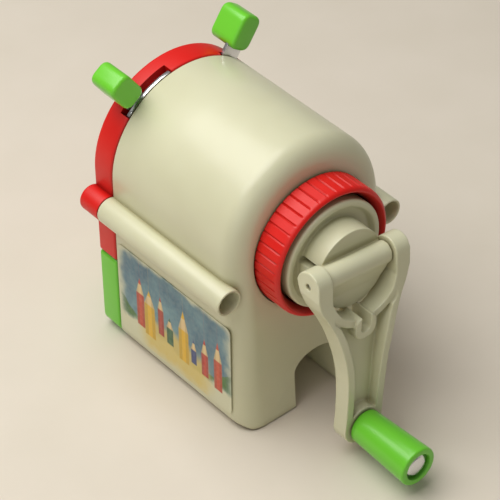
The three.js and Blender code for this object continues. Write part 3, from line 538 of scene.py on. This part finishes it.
def lock_ring():
    """A ring with flat slats round its outside and a sloping face inside its front edge."""
    back, front, r, bore = RING_HIGH.y, RING_LOW.y, RING_RADIUS, RING_BORE
    profile = [  # radius, depth, how deep the grooves between slats are
        (bore, back - 0.3, 0), (bore + 0.3, back, 0), (r - 1.6, back, 0), (r - 0.8, back, 0.1),
        (r - 0.2, back - 0.15, 0.4), (r, back - 0.5, GROOVE_DEPTH), (r, back - 3, GROOVE_DEPTH),
        (r, front + 2.2, GROOVE_DEPTH), (r - 0.03, front + 1.5, 0.3), (r - 0.12, front + 1.1, 0.12),
        (r - 0.3, front + 0.75, 0), (r - 0.55, front + 0.4, 0), (r - 0.85, front + 0.15, 0),
        (r - 1.15, front, 0), (r - 1.45, front + 0.02, 0), (r - 1.7, front + 0.2, 0),
        (bore + 0.5, front + 2.3, 0), (bore + 0.15, front + 2.7, 0), (bore, front + 3.2, 0),
    ]
    steps = RING_SLATS * SLAT_STEPS
    half = math.pi / RING_SLATS
    points = []
    for radius, depth, groove in profile:
        for i in range(steps):
            a = 2 * math.pi * i / steps
            across = (i / SLAT_STEPS) % 1 - 0.5  # -0.5 to 0.5 from groove to groove
            flat = math.cos(half) / math.cos(2 * half * across) * radius
            rise = min(1.0, (0.5 - abs(across)) / GROOVE_SHARE)
            reach = (flat if groove else radius) - groove * (1 - rise)
            points.append((reach * math.cos(a), depth, AXIS_Z + reach * math.sin(a)))
    rows = len(profile)
    faces = [
        (k * steps + i, k * steps + (i + 1) % steps,
         (k + 1) % rows * steps + (i + 1) % steps, (k + 1) % rows * steps + i)
        for k in range(rows)
        for i in range(steps)
    ]
    return shade(make("lock_ring", points, faces), 28)


# ---- the crank -------------------------------------------------------------------------------

def along_x(name, radius, start, end, steps=64):
    """A round bar along the hinge pin."""
    outline = arc(HINGE_DEPTH, HINGE_Z, radius, 0, 360, steps)[:-1]
    return side_prism(name, outline, start, end)


def hub_web():
    """Fills the corner under the barrel with a slope down to the raised middle."""
    left = CRANK_SHIFT - BARREL_HALF
    right = CRANK_SHIFT + BARREL_HALF
    slope = [(-19, HINGE_Z - 2.7), (-17.4, AXIS_Z - 6), (-12, AXIS_Z - 11), (-12, HINGE_Z)]
    limit = drum("round", LOWER_RADIUS - 0.1, -30, 0, CRANK_SHIFT, AXIS_Z, 0, 128)
    return share(side_prism("web", slope, left, right), limit)


def crank_hub():
    profile = [(0, HUB_BACK, 0), (HUB_RADIUS, HUB_BACK, 0.3), (HUB_RADIUS, HUB_FRONT, 1.0),
               (HUB_RIM_INNER + 1.1, HUB_FRONT, 0.6), (HUB_RIM_INNER, HUB_DISH, 0.8), (0, HUB_DISH, 0)]
    disc = lathe("hub", fillet(profile, 0, 8), steps=128)
    crown = prism("crown", arc(0, AXIS_Z, CROWN_RADIUS, 18, 162, 48), CROWN_FRONT, -4)
    lower = prism("lower", arc(CRANK_SHIFT, AXIS_Z, LOWER_RADIUS, 170, 370, 64), LOWER_FRONT, -4)
    spigot = drum("spigot", SPIGOT_RADIUS, 0.4, 5)
    barrel = along_x("barrel", BARREL_RADIUS, CRANK_SHIFT - BARREL_HALF, CRANK_SHIFT + BARREL_HALF)
    join(disc, crown, lower, spigot, barrel, hub_web())
    cut(disc, along_x("pin_hole", PIN_HOLE, -20, 20, 32))
    return soften(turned(disc), 0.22, 3)


def smooth_path(points, steps):
    """Points along one smooth curve through the given ones."""
    padded = [np.array(p, float) for p in [points[0], *points, points[-1]]]
    path = []
    for a, b, c, d in zip(padded, padded[1:], padded[2:], padded[3:]):
        for i in range(steps):
            t = i / steps
            path.append(tuple(0.5 * (2 * b + (c - a) * t + (2 * a - 5 * b + 4 * c - d) * t * t
                                     + (3 * b - a - 3 * c + d) * t ** 3)))
    return path + [tuple(points[-1])]


def arm_outline(drawn_in):
    """The arm seen from the front, from the ears down to the round end at the knob.

    The curve's points are (half width, height above the crank axis).
    """
    sides = smooth_path([(EAR_OUTER, -1), (17.5, -5), (14.7, -10), (12.4, -15), (10.6, -20.5),
                         (9, -27), (8.1, -34), (ARM_HALF, -43)], 6)
    top = (EAR_OUTER, HINGE_RISE + EAR_RADIUS + 1)
    right = [(x - drawn_in, AXIS_Z + z) for x, z in [top, *sides]]
    left = [(-x, z) for x, z in reversed(right)]
    squash = (ARM_END - drawn_in) / (ARM_HALF - drawn_in)
    end = [(x, KNOB_Z + (z - KNOB_Z) * squash) for x, z in arc(0, KNOB_Z, ARM_HALF - drawn_in, 0, -180, 24)]
    return right + end + left


def arm_profile(inward):
    """The arm seen from the side, curving away from the body as it goes down to the knob.

    The curves' points are (depth, height above the crank axis).
    """
    low = KNOB_Z - ARM_HALF - 1
    back = smooth_path([(ARM_BACK, -48), (-21.6, -36), (-19.9, -24), (-17.2, -13), (-14.2, -4)], 8)
    front = smooth_path([(-22.4, -4), (-24.6, -13), (-26.4, -22), (-27.5, -34), (ARM_FRONT, -48)], 8)
    crown = arc(HINGE_DEPTH, HINGE_Z, EAR_RADIUS, 0, 180, 32)
    outline = [(ARM_BACK, low), *[(d, AXIS_Z + z) for d, z in back], *crown,
               *[(d, AXIS_Z + z) for d, z in front], (ARM_FRONT, low)]
    return [(d - inward, z) for d, z in outline]


def saddle(radius):
    """A round tool about the crank axis, for the band of the arm that straddles the hub."""
    return drum("saddle", radius, -45, 5, edge=0, steps=128)


def crank_arm():
    far = AXIS_Z + 20

    def across(half, low, start, end):
        """A block across the arm, from low up past its ears."""
        return prism("across", [(-half, low), (half, low), (half, far), (-half, far)], start, end)

    arm = share(prism("arm", arm_outline(0), -40, 0), side_prism("side", arm_profile(0), -25, 25))
    channel = share(prism("channel", arm_outline(ARM_WALL), -40, 0),
                    side_prism("side", arm_profile(ARM_WEB), -25, 25))
    cut(channel, saddle(SADDLE_OUTER))
    cut(channel, across(30, AXIS_Z - 9.5, -50, 10))
    opening = share(prism("opening", rounded_box(-EAR_INNER, EAR_INNER, AXIS_Z - 30, far, 1), -41, 1),
                    saddle(SADDLE_INNER))
    front = share(across(EAR_INNER, AXIS_Z - 30, -41, SADDLE_FRONT), saddle(SADDLE_OUTER + 0.4))
    cut(arm, channel)
    cut(arm, opening)
    cut(arm, across(EAR_INNER, AXIS_Z - 4, -42, 2))
    cut(arm, front)
    clip = rounded_box(-CLIP_HALF, CLIP_HALF, AXIS_Z - 20.6, AXIS_Z - 12, CLIP_HALF - 0.2)
    slot = rounded_box(-CLIP_SLOT_HALF, CLIP_SLOT_HALF, AXIS_Z - 18.2, AXIS_Z - 8, CLIP_SLOT_HALF - 0.1)
    join(arm, prism("clip", clip, SADDLE_FRONT - 1, -15.5))
    join(arm, drum("boss", ARM_END - 0.2, ARM_FRONT, ARM_BACK - 1, 0, KNOB_Z, 0.3))
    cut(arm, prism("slot", slot, -40, -8))
    cut(arm, along_x("pin_hole", PIN_HOLE, -25, 25, 32))
    cut(arm, drum("axle_hole", AXLE_RADIUS + 0.05, -40, ARM_BACK - 0.8, 0, KNOB_Z, 0, 32))
    return soften(turned(arm, shift=CRANK_SHIFT), 0.26, 5)


def crank_knob():
    base = KNOB_HIGH.y
    end = KNOB_LOW.y
    floor_depth = end + SOCKET_DEPTH
    profile = [(KNOB_HOLE, base, 0), (KNOB_NARROW, base, 1.1), (KNOB_RADIUS, end, 1.1),
               (SOCKET_RADIUS, end, 0.4), (SOCKET_RADIUS - 0.2, floor_depth, 0.2),
               (KNOB_HOLE, floor_depth, 0)]
    return shade(turned(lathe("knob", fillet(profile, 0, 8), 0, KNOB_Z, 128), shift=CRANK_SHIFT), 50)


def knob_axle():
    """A polished rivet: a shaft through the knob with a shallow domed head in its socket."""
    foot = ARM_BACK - 0.9
    head = KNOB_LOW.y + SOCKET_DEPTH - 0.08
    profile = [(0, foot, 0), (AXLE_RADIUS, foot, 0.1), (AXLE_RADIUS, head, 0), (RIVET_RADIUS, head, 0.1),
               (RIVET_RADIUS - 0.1, head - 0.5, 0.3), (RIVET_RADIUS - 1, head - 1.0, 0.8),
               (RIVET_RADIUS - 2.5, head - RIVET_HEIGHT + 0.05, 1.0), (0, head - RIVET_HEIGHT, 0)]
    return shade(turned(lathe("rivet", fillet(profile, 0, 6), 0, KNOB_Z, 64), shift=CRANK_SHIFT), 50)


def hinge_pin():
    pin = along_x("pin", 1, 0.8 - EAR_OUTER, EAR_OUTER - 0.8, 32)
    return shade(turned(bevel(pin, 0.2, 3), shift=CRANK_SHIFT), 40)


# ---- the carriage ----------------------------------------------------------------------------

def wedge(start_angle, end_angle, inner, outer, start, end):
    """A wedge round the crank axis, its angles in degrees clockwise from straight up."""
    outside = arc(0, AXIS_Z, outer, 90 - start_angle, 90 - end_angle, 8)
    inside = arc(0, AXIS_Z, inner, 90 - end_angle, 90 - start_angle, 8)
    return prism("wedge", outside + inside, start, end)


def round_spots(radius, first):
    """Three spots spread evenly round the crank axis, angles clockwise from straight up."""
    angles = [math.radians(first + 120 * i) for i in range(3)]
    return [(radius * math.sin(a), AXIS_Z + radius * math.cos(a)) for a in angles]


def tube_end(x):
    """The round end that covers a guide tube."""
    profile = [(0, END_DEPTH, 0), (TUBE_RADIUS, END_DEPTH, 0.4), (TUBE_RADIUS, CLOSED, 1.1), (0, CLOSED, 0)]
    return lathe("tube_end", fillet(profile, 0, 6), x, TUBE_Z, 64)


def pencil_hole():
    """The pencil's hole, flaring towards the back."""
    floor_depth = RECESS_FLOOR + 0.9
    beyond = CLOSED + 0.4
    profile = [(0, RECESS_FLOOR - 1.5, 0), (PENCIL_HOLE, RECESS_FLOOR - 1.5, 0),
               (PENCIL_HOLE, floor_depth, 0.5), (PENCIL_MOUTH, beyond, 0), (0, beyond, 0)]
    return lathe("pencil", fillet(profile, 0, 5))


def carriage_plate():
    slab = bevel(prism("carriage", arch_above(0, SPLIT_Z + 0.3, 96), END_DEPTH, CLOSED), 1.1, 5)
    join(slab, *[tube_end(x) for x in (-TUBE_X, TUBE_X)])
    screws = round_spots(CHUCK_SCREW_CIRCLE, 0)
    pins = round_spots(JAW_PIN_CIRCLE, 60)
    cut(slab, drum("recess", CHUCK_RECESS, 60, RECESS_FLOOR, edge=0, steps=128), pencil_hole())
    lever_slot = wedge(-45, -9, CHUCK_RECESS - 2, 40, 60, 67.8)
    tab_slot = wedge(27, 43, CHUCK_RECESS - 2, 40, 60, 65.8)
    cut(slab, lever_slot, tab_slot)
    cut(slab, *[drum("rod_hole", ROD_HOLE, 60, 71.4, x, TUBE_Z, 0, 32) for x in (-TUBE_X, TUBE_X)])
    join(slab, *[drum("boss", CHUCK_SCREW_BOSS, 65.52, RECESS_FLOOR + 0.5, x, z, 0, 32) for x, z in screws])
    cut(slab, *[drum("pilot", CHUCK_SCREW_HOLE, 60, RECESS_FLOOR - 0.1, x, z, 0, 24) for x, z in screws])
    cut(slab, *[drum("pin_hole", JAW_PIN_HOLE, 69, 72.2, x, z, 0, 24) for x, z in pins])
    return shade(slab, 30)


def finger_tab(node, arm_node):
    """A soft-cornered tab on the end of a lever, at the angle the CAD gives it."""
    low, high = span(node)
    middle = (low + high) / 2
    angle = math.atan2(middle.x, middle.z - AXIS_Z)
    reach = math.hypot(middle.x, middle.z - AXIS_Z)
    plate_low, plate_high = span(arm_node)
    bottom = AXIS_Z + reach - TAB_HALF_HEIGHT
    top = AXIS_Z + reach + TAB_HALF_HEIGHT
    outline = rounded_box(-TAB_HALF_WIDTH, TAB_HALF_WIDTH, bottom, top, 3.2, 10)
    tab = bevel(prism("tab", outline, low.y, high.y), 1.3, 6)
    slot = [(side * TAB_SLOT_HALF, AXIS_Z + z)
            for side, z in ((-1, TAB_SLOT_LOW), (1, TAB_SLOT_LOW), (1, TAB_SLOT_HIGH), (-1, TAB_SLOT_HIGH))]
    plate_back = min(plate_high.y, plate_low.y + 1.2)
    cut(tab, prism("slot", slot, plate_low.y - 0.02, plate_back + 0.02))
    return shade(turned(tab, angle), 35)


# ---- materials -------------------------------------------------------------------------------

def srgb(red, green, blue):
    """A linear colour from 0 to 255 screen values."""
    def channel(v):
        v /= 255
        return v / 12.92 if v <= 0.04045 else ((v + 0.055) / 1.055) ** 2.4

    return (channel(red), channel(green), channel(blue), 1)


class Shader:
    """A material's nodes, written as short calls that return the node's first output."""

    def __init__(self, name):
        self.material = bpy.data.materials.new(name)
        self.material.use_nodes = True
        self.tree = self.material.node_tree
        self.tree.nodes.clear()
        self.output = self.tree.nodes.new("ShaderNodeOutputMaterial")
        self.coords = self.make("ShaderNodeTexCoord").outputs["Object"]

    def make(self, kind, inputs=None, **settings):
        node = self.tree.nodes.new(kind)
        for key, value in settings.items():
            setattr(node, key, value)
        for key, value in (inputs or {}).items():
            if isinstance(value, bpy.types.NodeSocket):
                self.tree.links.new(value, node.inputs[key])
            else:
                node.inputs[key].default_value = value
        return node

    def noise(self, scale, detail=2.0, stretch=(1, 1, 1)):
        """Smooth noise from 0 to 1. The scale is in features per metre."""
        mapping = self.make("ShaderNodeMapping", {"Vector": self.coords, "Scale": stretch})
        inputs = {"Vector": mapping.outputs[0], "Scale": scale, "Detail": detail}
        return self.make("ShaderNodeTexNoise", inputs).outputs["Fac"]

    def math(self, operation, a, b=0.0, clamp=False):
        return self.make("ShaderNodeMath", {0: a, 1: b}, operation=operation, use_clamp=clamp).outputs[0]

    def spread(self, value, low, high):
        """Maps 0.3 to 0.7, where noise mostly lies, to low and high."""
        inputs = {"Value": value, "From Min": 0.3, "From Max": 0.7, "To Min": low, "To Max": high}
        return self.make("ShaderNodeMapRange", inputs).outputs[0]

    def mix(self, share, a, b, blend="MIX"):
        node = self.make("ShaderNodeMix", data_type="RGBA", blend_type=blend)
        for socket, value in zip((node.inputs[0], node.inputs[6], node.inputs[7]), (share, a, b)):
            if isinstance(value, bpy.types.NodeSocket):
                self.tree.links.new(value, socket)
            else:
                socket.default_value = value
        return node.outputs[2]

    def bump(self, height, strength, distance, normal=None):
        inputs = {"Height": height, "Strength": strength, "Distance": distance * MM}
        if normal is not None:
            inputs["Normal"] = normal
        return self.make("ShaderNodeBump", inputs).outputs[0]

    def crevice_shade(self, distance):
        """Painted shade mask: 1 in the open, towards 0 in grooves and inside corners, by ambient occlusion."""
        inputs = {"Distance": distance * MM}
        return self.make("ShaderNodeAmbientOcclusion", inputs, samples=8).outputs["AO"]

    def finish(self, **inputs):
        """Closes the material with a principled surface. An input's name has _ for each space."""
        names = {key.replace("_", " "): value for key, value in inputs.items()}
        surface = self.make("ShaderNodeBsdfPrincipled", names)
        self.tree.links.new(surface.outputs[0], self.output.inputs[0])
        return self.material


def plastic(name, colour, drift_and_crease_shade_colour, roughness, depth=0.0, texture=0.04, coat=0.15):
    """Moulded plastic: slow colour drift, painted shade in creases, a fine skin and gentle waviness."""
    s = Shader(name)
    drift = s.mix(s.spread(s.noise(45), 0, 0.12), colour, drift_and_crease_shade_colour)
    # painted shade: ambient occlusion darkens creases and inside corners towards the darker colour
    crease_shaded_colour = s.mix(s.crevice_shade(2.5), drift_and_crease_shade_colour, drift)
    rough = s.spread(s.noise(260, 3), roughness - 0.02, roughness + 0.03)
    skin = s.bump(s.noise(3200, 2), texture, 0.01)
    wavy = s.bump(s.noise(60, 1), 0.1, 0.2, skin)
    return s.finish(Base_Color=crease_shaded_colour, Roughness=rough, Normal=wavy, IOR=1.5, Subsurface_Weight=depth,
                    Subsurface_Radius=(1, 0.8, 0.5), Subsurface_Scale=1.2 * MM,
                    Coat_Weight=coat, Coat_Roughness=0.18)


def metal(name, colour, roughness, stretch):
    """Metal with fine drawn lines, cloudy handling marks and painted shade in crevices."""
    s = Shader(name)
    lines = s.noise(900, 3, stretch)
    clouds = s.noise(160, 2)
    dark = tuple(c * 0.72 for c in colour[:3]) + (1,)
    tint = s.mix(s.spread(clouds, 0, 0.2), colour, dark)
    # painted shade: ambient occlusion darkens grooves and inside corners towards the darker tone
    occlusion_shaded_tint = s.mix(s.crevice_shade(1.2), dark, tint)
    worn = s.spread(clouds, roughness - 0.02, roughness + 0.03)
    rough = s.math("ADD", worn, s.spread(lines, -0.02, 0.03))
    return s.finish(Base_Color=occlusion_shaded_tint, Metallic=1.0, Roughness=rough, Normal=s.bump(lines, 0.06, 0.02))


def rubber():
    """Dull dark rubber with a little dust."""
    s = Shader("rubber")
    dust = s.mix(s.spread(s.noise(500, 4), 0, 0.25), srgb(52, 52, 52), srgb(110, 108, 104))
    return s.finish(Base_Color=dust, Roughness=0.8, Normal=s.bump(s.noise(2400, 3), 0.4, 0.1))


CREAM = srgb(212, 211, 180)
CRAYON_RED = srgb(196, 52, 20)
CRAYON_YELLOW = srgb(226, 178, 8)
CRAYON_WOOD = srgb(226, 196, 140)
CRAYONS = [  # middle, half width, foot, shoulder and tip of each, with its paint
    (51.5, 2.0, 13.0, 27.0, 34.0, CRAYON_RED),
    (46.8, 2.7, 11.5, 25.0, 31.5, CRAYON_YELLOW),
    (41.0, 1.5, 16.0, 27.0, 33.0, srgb(172, 40, 24)),
    (36.5, 1.7, 15.0, 22.0, 27.0, srgb(34, 96, 60)),
    (29.5, 2.5, 12.5, 26.0, 34.5, CRAYON_YELLOW),
    (24.5, 1.4, 15.0, 21.0, 26.0, srgb(36, 58, 124)),
    (19.0, 1.7, 13.5, 23.0, 30.0, srgb(190, 34, 18)),
    (12.5, 2.0, 12.0, 24.5, 33.0, srgb(200, 60, 22)),
]
MEADOW_MIDDLE = 34  # the depth where the grass is lowest
MEADOW_Z = 12.5
MEADOW_CURVE = 0.012


def print_label():
    """The printed side picture: a soft blue wash over grass, with upright colouring pencils."""
    s = Shader("label")
    split = s.make("ShaderNodeSeparateXYZ", {0: s.coords})
    depth = s.math("ADD", s.math("DIVIDE", split.outputs["Y"], MM), CLOSED / 2)
    height = s.math("DIVIDE", split.outputs["Z"], MM)
    ripple = s.math("MULTIPLY", s.math("SUBTRACT", s.noise(140, 3), 0.5), 7.0)

    def ramp(value, low, high):
        inputs = {"Value": value, "From Min": low, "From Max": high, "To Min": 0, "To Max": 1}
        return s.make("ShaderNodeMapRange", inputs, interpolation_type="SMOOTHSTEP").outputs[0]

    def between(value, low, high, soft):
        rise = ramp(value, low, low + soft)
        fall = ramp(value, high, high - soft)
        return s.math("MULTIPLY", rise, fall)

    low, high = span("side_label_left")
    frayed = s.math("ADD", height, ripple)
    wash = s.math("MULTIPLY", between(s.math("ADD", depth, ripple), low.y - 1, high.y + 1, 5),
                  between(frayed, 13, high.z + 1, 3))
    cloud = s.mix(s.spread(s.noise(110, 3), 0, 1), srgb(52, 98, 124), srgb(104, 146, 158))
    colour = s.mix(wash, CREAM, cloud)

    aside = s.math("SUBTRACT", depth, MEADOW_MIDDLE)
    curve = s.math("MULTIPLY", s.math("MULTIPLY", aside, aside), MEADOW_CURVE)
    top = s.math("ADD", s.math("ADD", curve, ripple), MEADOW_Z)
    grass = s.math("MULTIPLY", ramp(s.math("SUBTRACT", top, height), -0.4, 0.4), ramp(height, 9, 11))
    blades = s.mix(s.noise(900, 2, (1, 1, 0.15)), srgb(26, 84, 36), srgb(70, 124, 40))
    colour = s.mix(s.math("MULTIPLY", grass, wash), colour, blades)

    sheet = s.math("MULTIPLY", between(s.math("ADD", depth, ripple), 14, 54, 8), between(frayed, 4, 23, 5))
    colour = s.mix(s.math("MULTIPLY", sheet, 0.85), colour, srgb(216, 190, 96))

    for middle, half, foot, shoulder, tip, paint in CRAYONS:
        aside = s.math("ABSOLUTE", s.math("SUBTRACT", depth, middle))
        taper = s.math("DIVIDE", s.math("SUBTRACT", tip, height), tip - shoulder, clamp=True)
        inside = ramp(s.math("SUBTRACT", s.math("MULTIPLY", taper, half), aside), -0.15, 0.25)
        shape = s.math("MULTIPLY", inside, ramp(height, foot, foot + 0.5))
        wood = s.mix(ramp(height, shoulder - 0.1, shoulder + 0.5), paint, CRAYON_WOOD)
        point = tip - (tip - shoulder) * 0.42
        tipped = s.mix(ramp(height, point, point + 0.4), wood, paint)
        facets = s.mix(ramp(aside, half * 0.3, half * 0.45), srgb(255, 255, 255), srgb(206, 206, 206))
        colour = s.mix(shape, colour, s.mix(0.6, tipped, facets, "MULTIPLY"))
    faded = s.mix(s.spread(s.noise(700, 3), 0.0, 0.1), colour, CREAM)
    return s.finish(Base_Color=faded, Roughness=s.spread(s.noise(300), 0.32, 0.42),
                    Normal=s.bump(s.noise(1800, 2), 0.05, 0.05), Coat_Weight=0.15, Coat_Roughness=0.2)


# each plastic's second colour serves both its slow colour drift and its painted shade in creases
MATERIALS = {
    "cream": plastic("cream", CREAM, srgb(160, 152, 108), 0.34, 0.1),
    "red": plastic("red", srgb(220, 16, 3), srgb(128, 4, 2), 0.45, 0.0, 0.02, 0.05),
    "green": plastic("green", srgb(112, 206, 50), srgb(56, 140, 22), 0.3, 0.0),
    "nylon": plastic("nylon", srgb(232, 230, 220), srgb(190, 186, 172), 0.42, 0.15),
    "steel": metal("steel", (0.74, 0.75, 0.77, 1), 0.24, (1, 0.12, 1)),
    "brass": metal("brass", (0.78, 0.6, 0.32, 1), 0.28, (1, 1, 0.12)),
    "rubber": rubber(),
    "label": print_label(),
}

# ---- every piece -----------------------------------------------------------------------------

BUILT = {
    "housing": housing,
    "drawer": drawer,
    "lock_ring": lock_ring,
    "crank_hub": crank_hub,
    "crank_arm": crank_arm,
    "crank_knob": crank_knob,
    "knob_axle": knob_axle,
    "hinge_pin": hinge_pin,
    "carriage_plate": carriage_plate,
    "fixed_tab": lambda: finger_tab("fixed_tab", "chuck_base_plate"),
    "moving_tab": lambda: finger_tab("moving_tab", "cam_ring"),
}


def press_feed_spring(piece):
    """The end on the rod's stop goes with the carriage and the other stays in the housing; here the spring only
    gets a mesh of its own.
    """
    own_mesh(piece)


def press_lever_spring(piece):
    """The end at the top of the slot stays and the lever presses the other towards it; here the spring only gets a
    mesh of its own.
    """
    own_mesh(piece)


for node in sorted(frame["nodes"]):
    if node in BUILT:
        piece = BUILT[node]()
    else:
        fine = any(word in node for word in FINE_EDGES)
        piece = refined(node, 0 if fine else EDGE_WIDTH)
    place(piece, node, MATERIALS[NODE_SLOT[node]])
    if node.startswith("feed_spring"):
        press_feed_spring(piece)
    if node == "lever_spring":
        press_lever_spring(piece)


# ---- floor, light and camera -----------------------------------------------------------------

FLOOR_HALF_METRES = 1.5
CAMERA_TURN = -39.8
CAMERA_RISE = 40.35
CAMERA_ROLL = -0.85
CAMERA_DISTANCE = 765.7
CAMERA_AIM = (-2.84, -6.5, 43.55)  # in the part's frame
SENSOR_WIDTH = 36
FOCAL_LENGTH = 2406.8 / 500 * SENSOR_WIDTH  # 2406.8 pixels in a frame 500 pixels wide


def floor():
    """A large plain sheet of pale paper."""
    s = Shader("floor")
    tone = s.mix(s.spread(s.noise(30, 4), 0, 1), srgb(224, 215, 200), srgb(220, 211, 195))
    paper = s.finish(Base_Color=tone, Roughness=0.75, Normal=s.bump(s.noise(1500, 3), 0.08, 0.1))
    half = FLOOR_HALF_METRES
    corners = [(-half, -half, 0), (half, -half, 0), (half, half, 0), (-half, half, 0)]
    mesh = bpy.data.meshes.new("floor")
    mesh.from_pydata(corners, [], [(0, 1, 2, 3)])
    sheet = bpy.data.objects.new("floor", mesh)
    bpy.context.scene.collection.objects.link(sheet)
    mesh.materials.append(paper)


def area_light(name, place_mm, aim_mm, size, watts, colour):
    """A round soft light. Its size is in metres."""
    light = bpy.data.lights.new(name, "AREA")
    light.shape = "DISK"
    light.size = size
    light.energy = watts
    light.color = colour
    lamp = bpy.data.objects.new(name, light)
    bpy.context.scene.collection.objects.link(lamp)
    lamp.location = Vector(place_mm) * MM
    away = (Vector(aim_mm) - Vector(place_mm)) * MM
    lamp.rotation_euler = away.to_track_quat("-Z", "Y").to_euler()


def studio():
    """A dim even sky with a large light above and a weak one at the crank's left."""
    world = bpy.data.worlds.new("studio")
    world.use_nodes = True
    sky = world.node_tree.nodes["Background"]
    sky.inputs["Color"].default_value = (1, 0.98, 0.95, 1)
    sky.inputs["Strength"].default_value = 0.18
    bpy.context.scene.world = world
    area_light("key", (-170, 130, 640), (0, 0, 50), 0.7, 4.9, (1, 0.985, 0.96))
    area_light("fill", (-560, -320, 280), (0, 0, 40), 0.6, 0.5, (1, 0.96, 0.9))
    bpy.context.scene.view_settings.view_transform = "Standard"


def camera():
    """The photograph's angle: above the crank's left, with a long lens."""
    turn = math.radians(CAMERA_TURN)
    rise = math.radians(CAMERA_RISE)
    roll = math.radians(CAMERA_ROLL)
    back = Vector((math.sin(turn) * math.cos(rise), -math.cos(turn) * math.cos(rise), math.sin(rise)))
    level_right = Vector((math.cos(turn), math.sin(turn), 0))
    level_up = back.cross(level_right)
    right = level_right * math.cos(roll) + level_up * math.sin(roll)
    up = level_up * math.cos(roll) - level_right * math.sin(roll)
    lens = bpy.data.cameras.new("camera")
    lens.sensor_width = SENSOR_WIDTH
    lens.lens = FOCAL_LENGTH
    lens.clip_start = 0.01
    eye = bpy.data.objects.new("camera", lens)
    bpy.context.scene.collection.objects.link(eye)
    place_at = (Vector(CAMERA_AIM) + back * CAMERA_DISTANCE) * MM
    eye.matrix_world = Matrix.Translation(place_at) @ Matrix((right, up, back)).transposed().to_4x4()
    bpy.context.scene.camera = eye


floor()
studio()
camera()
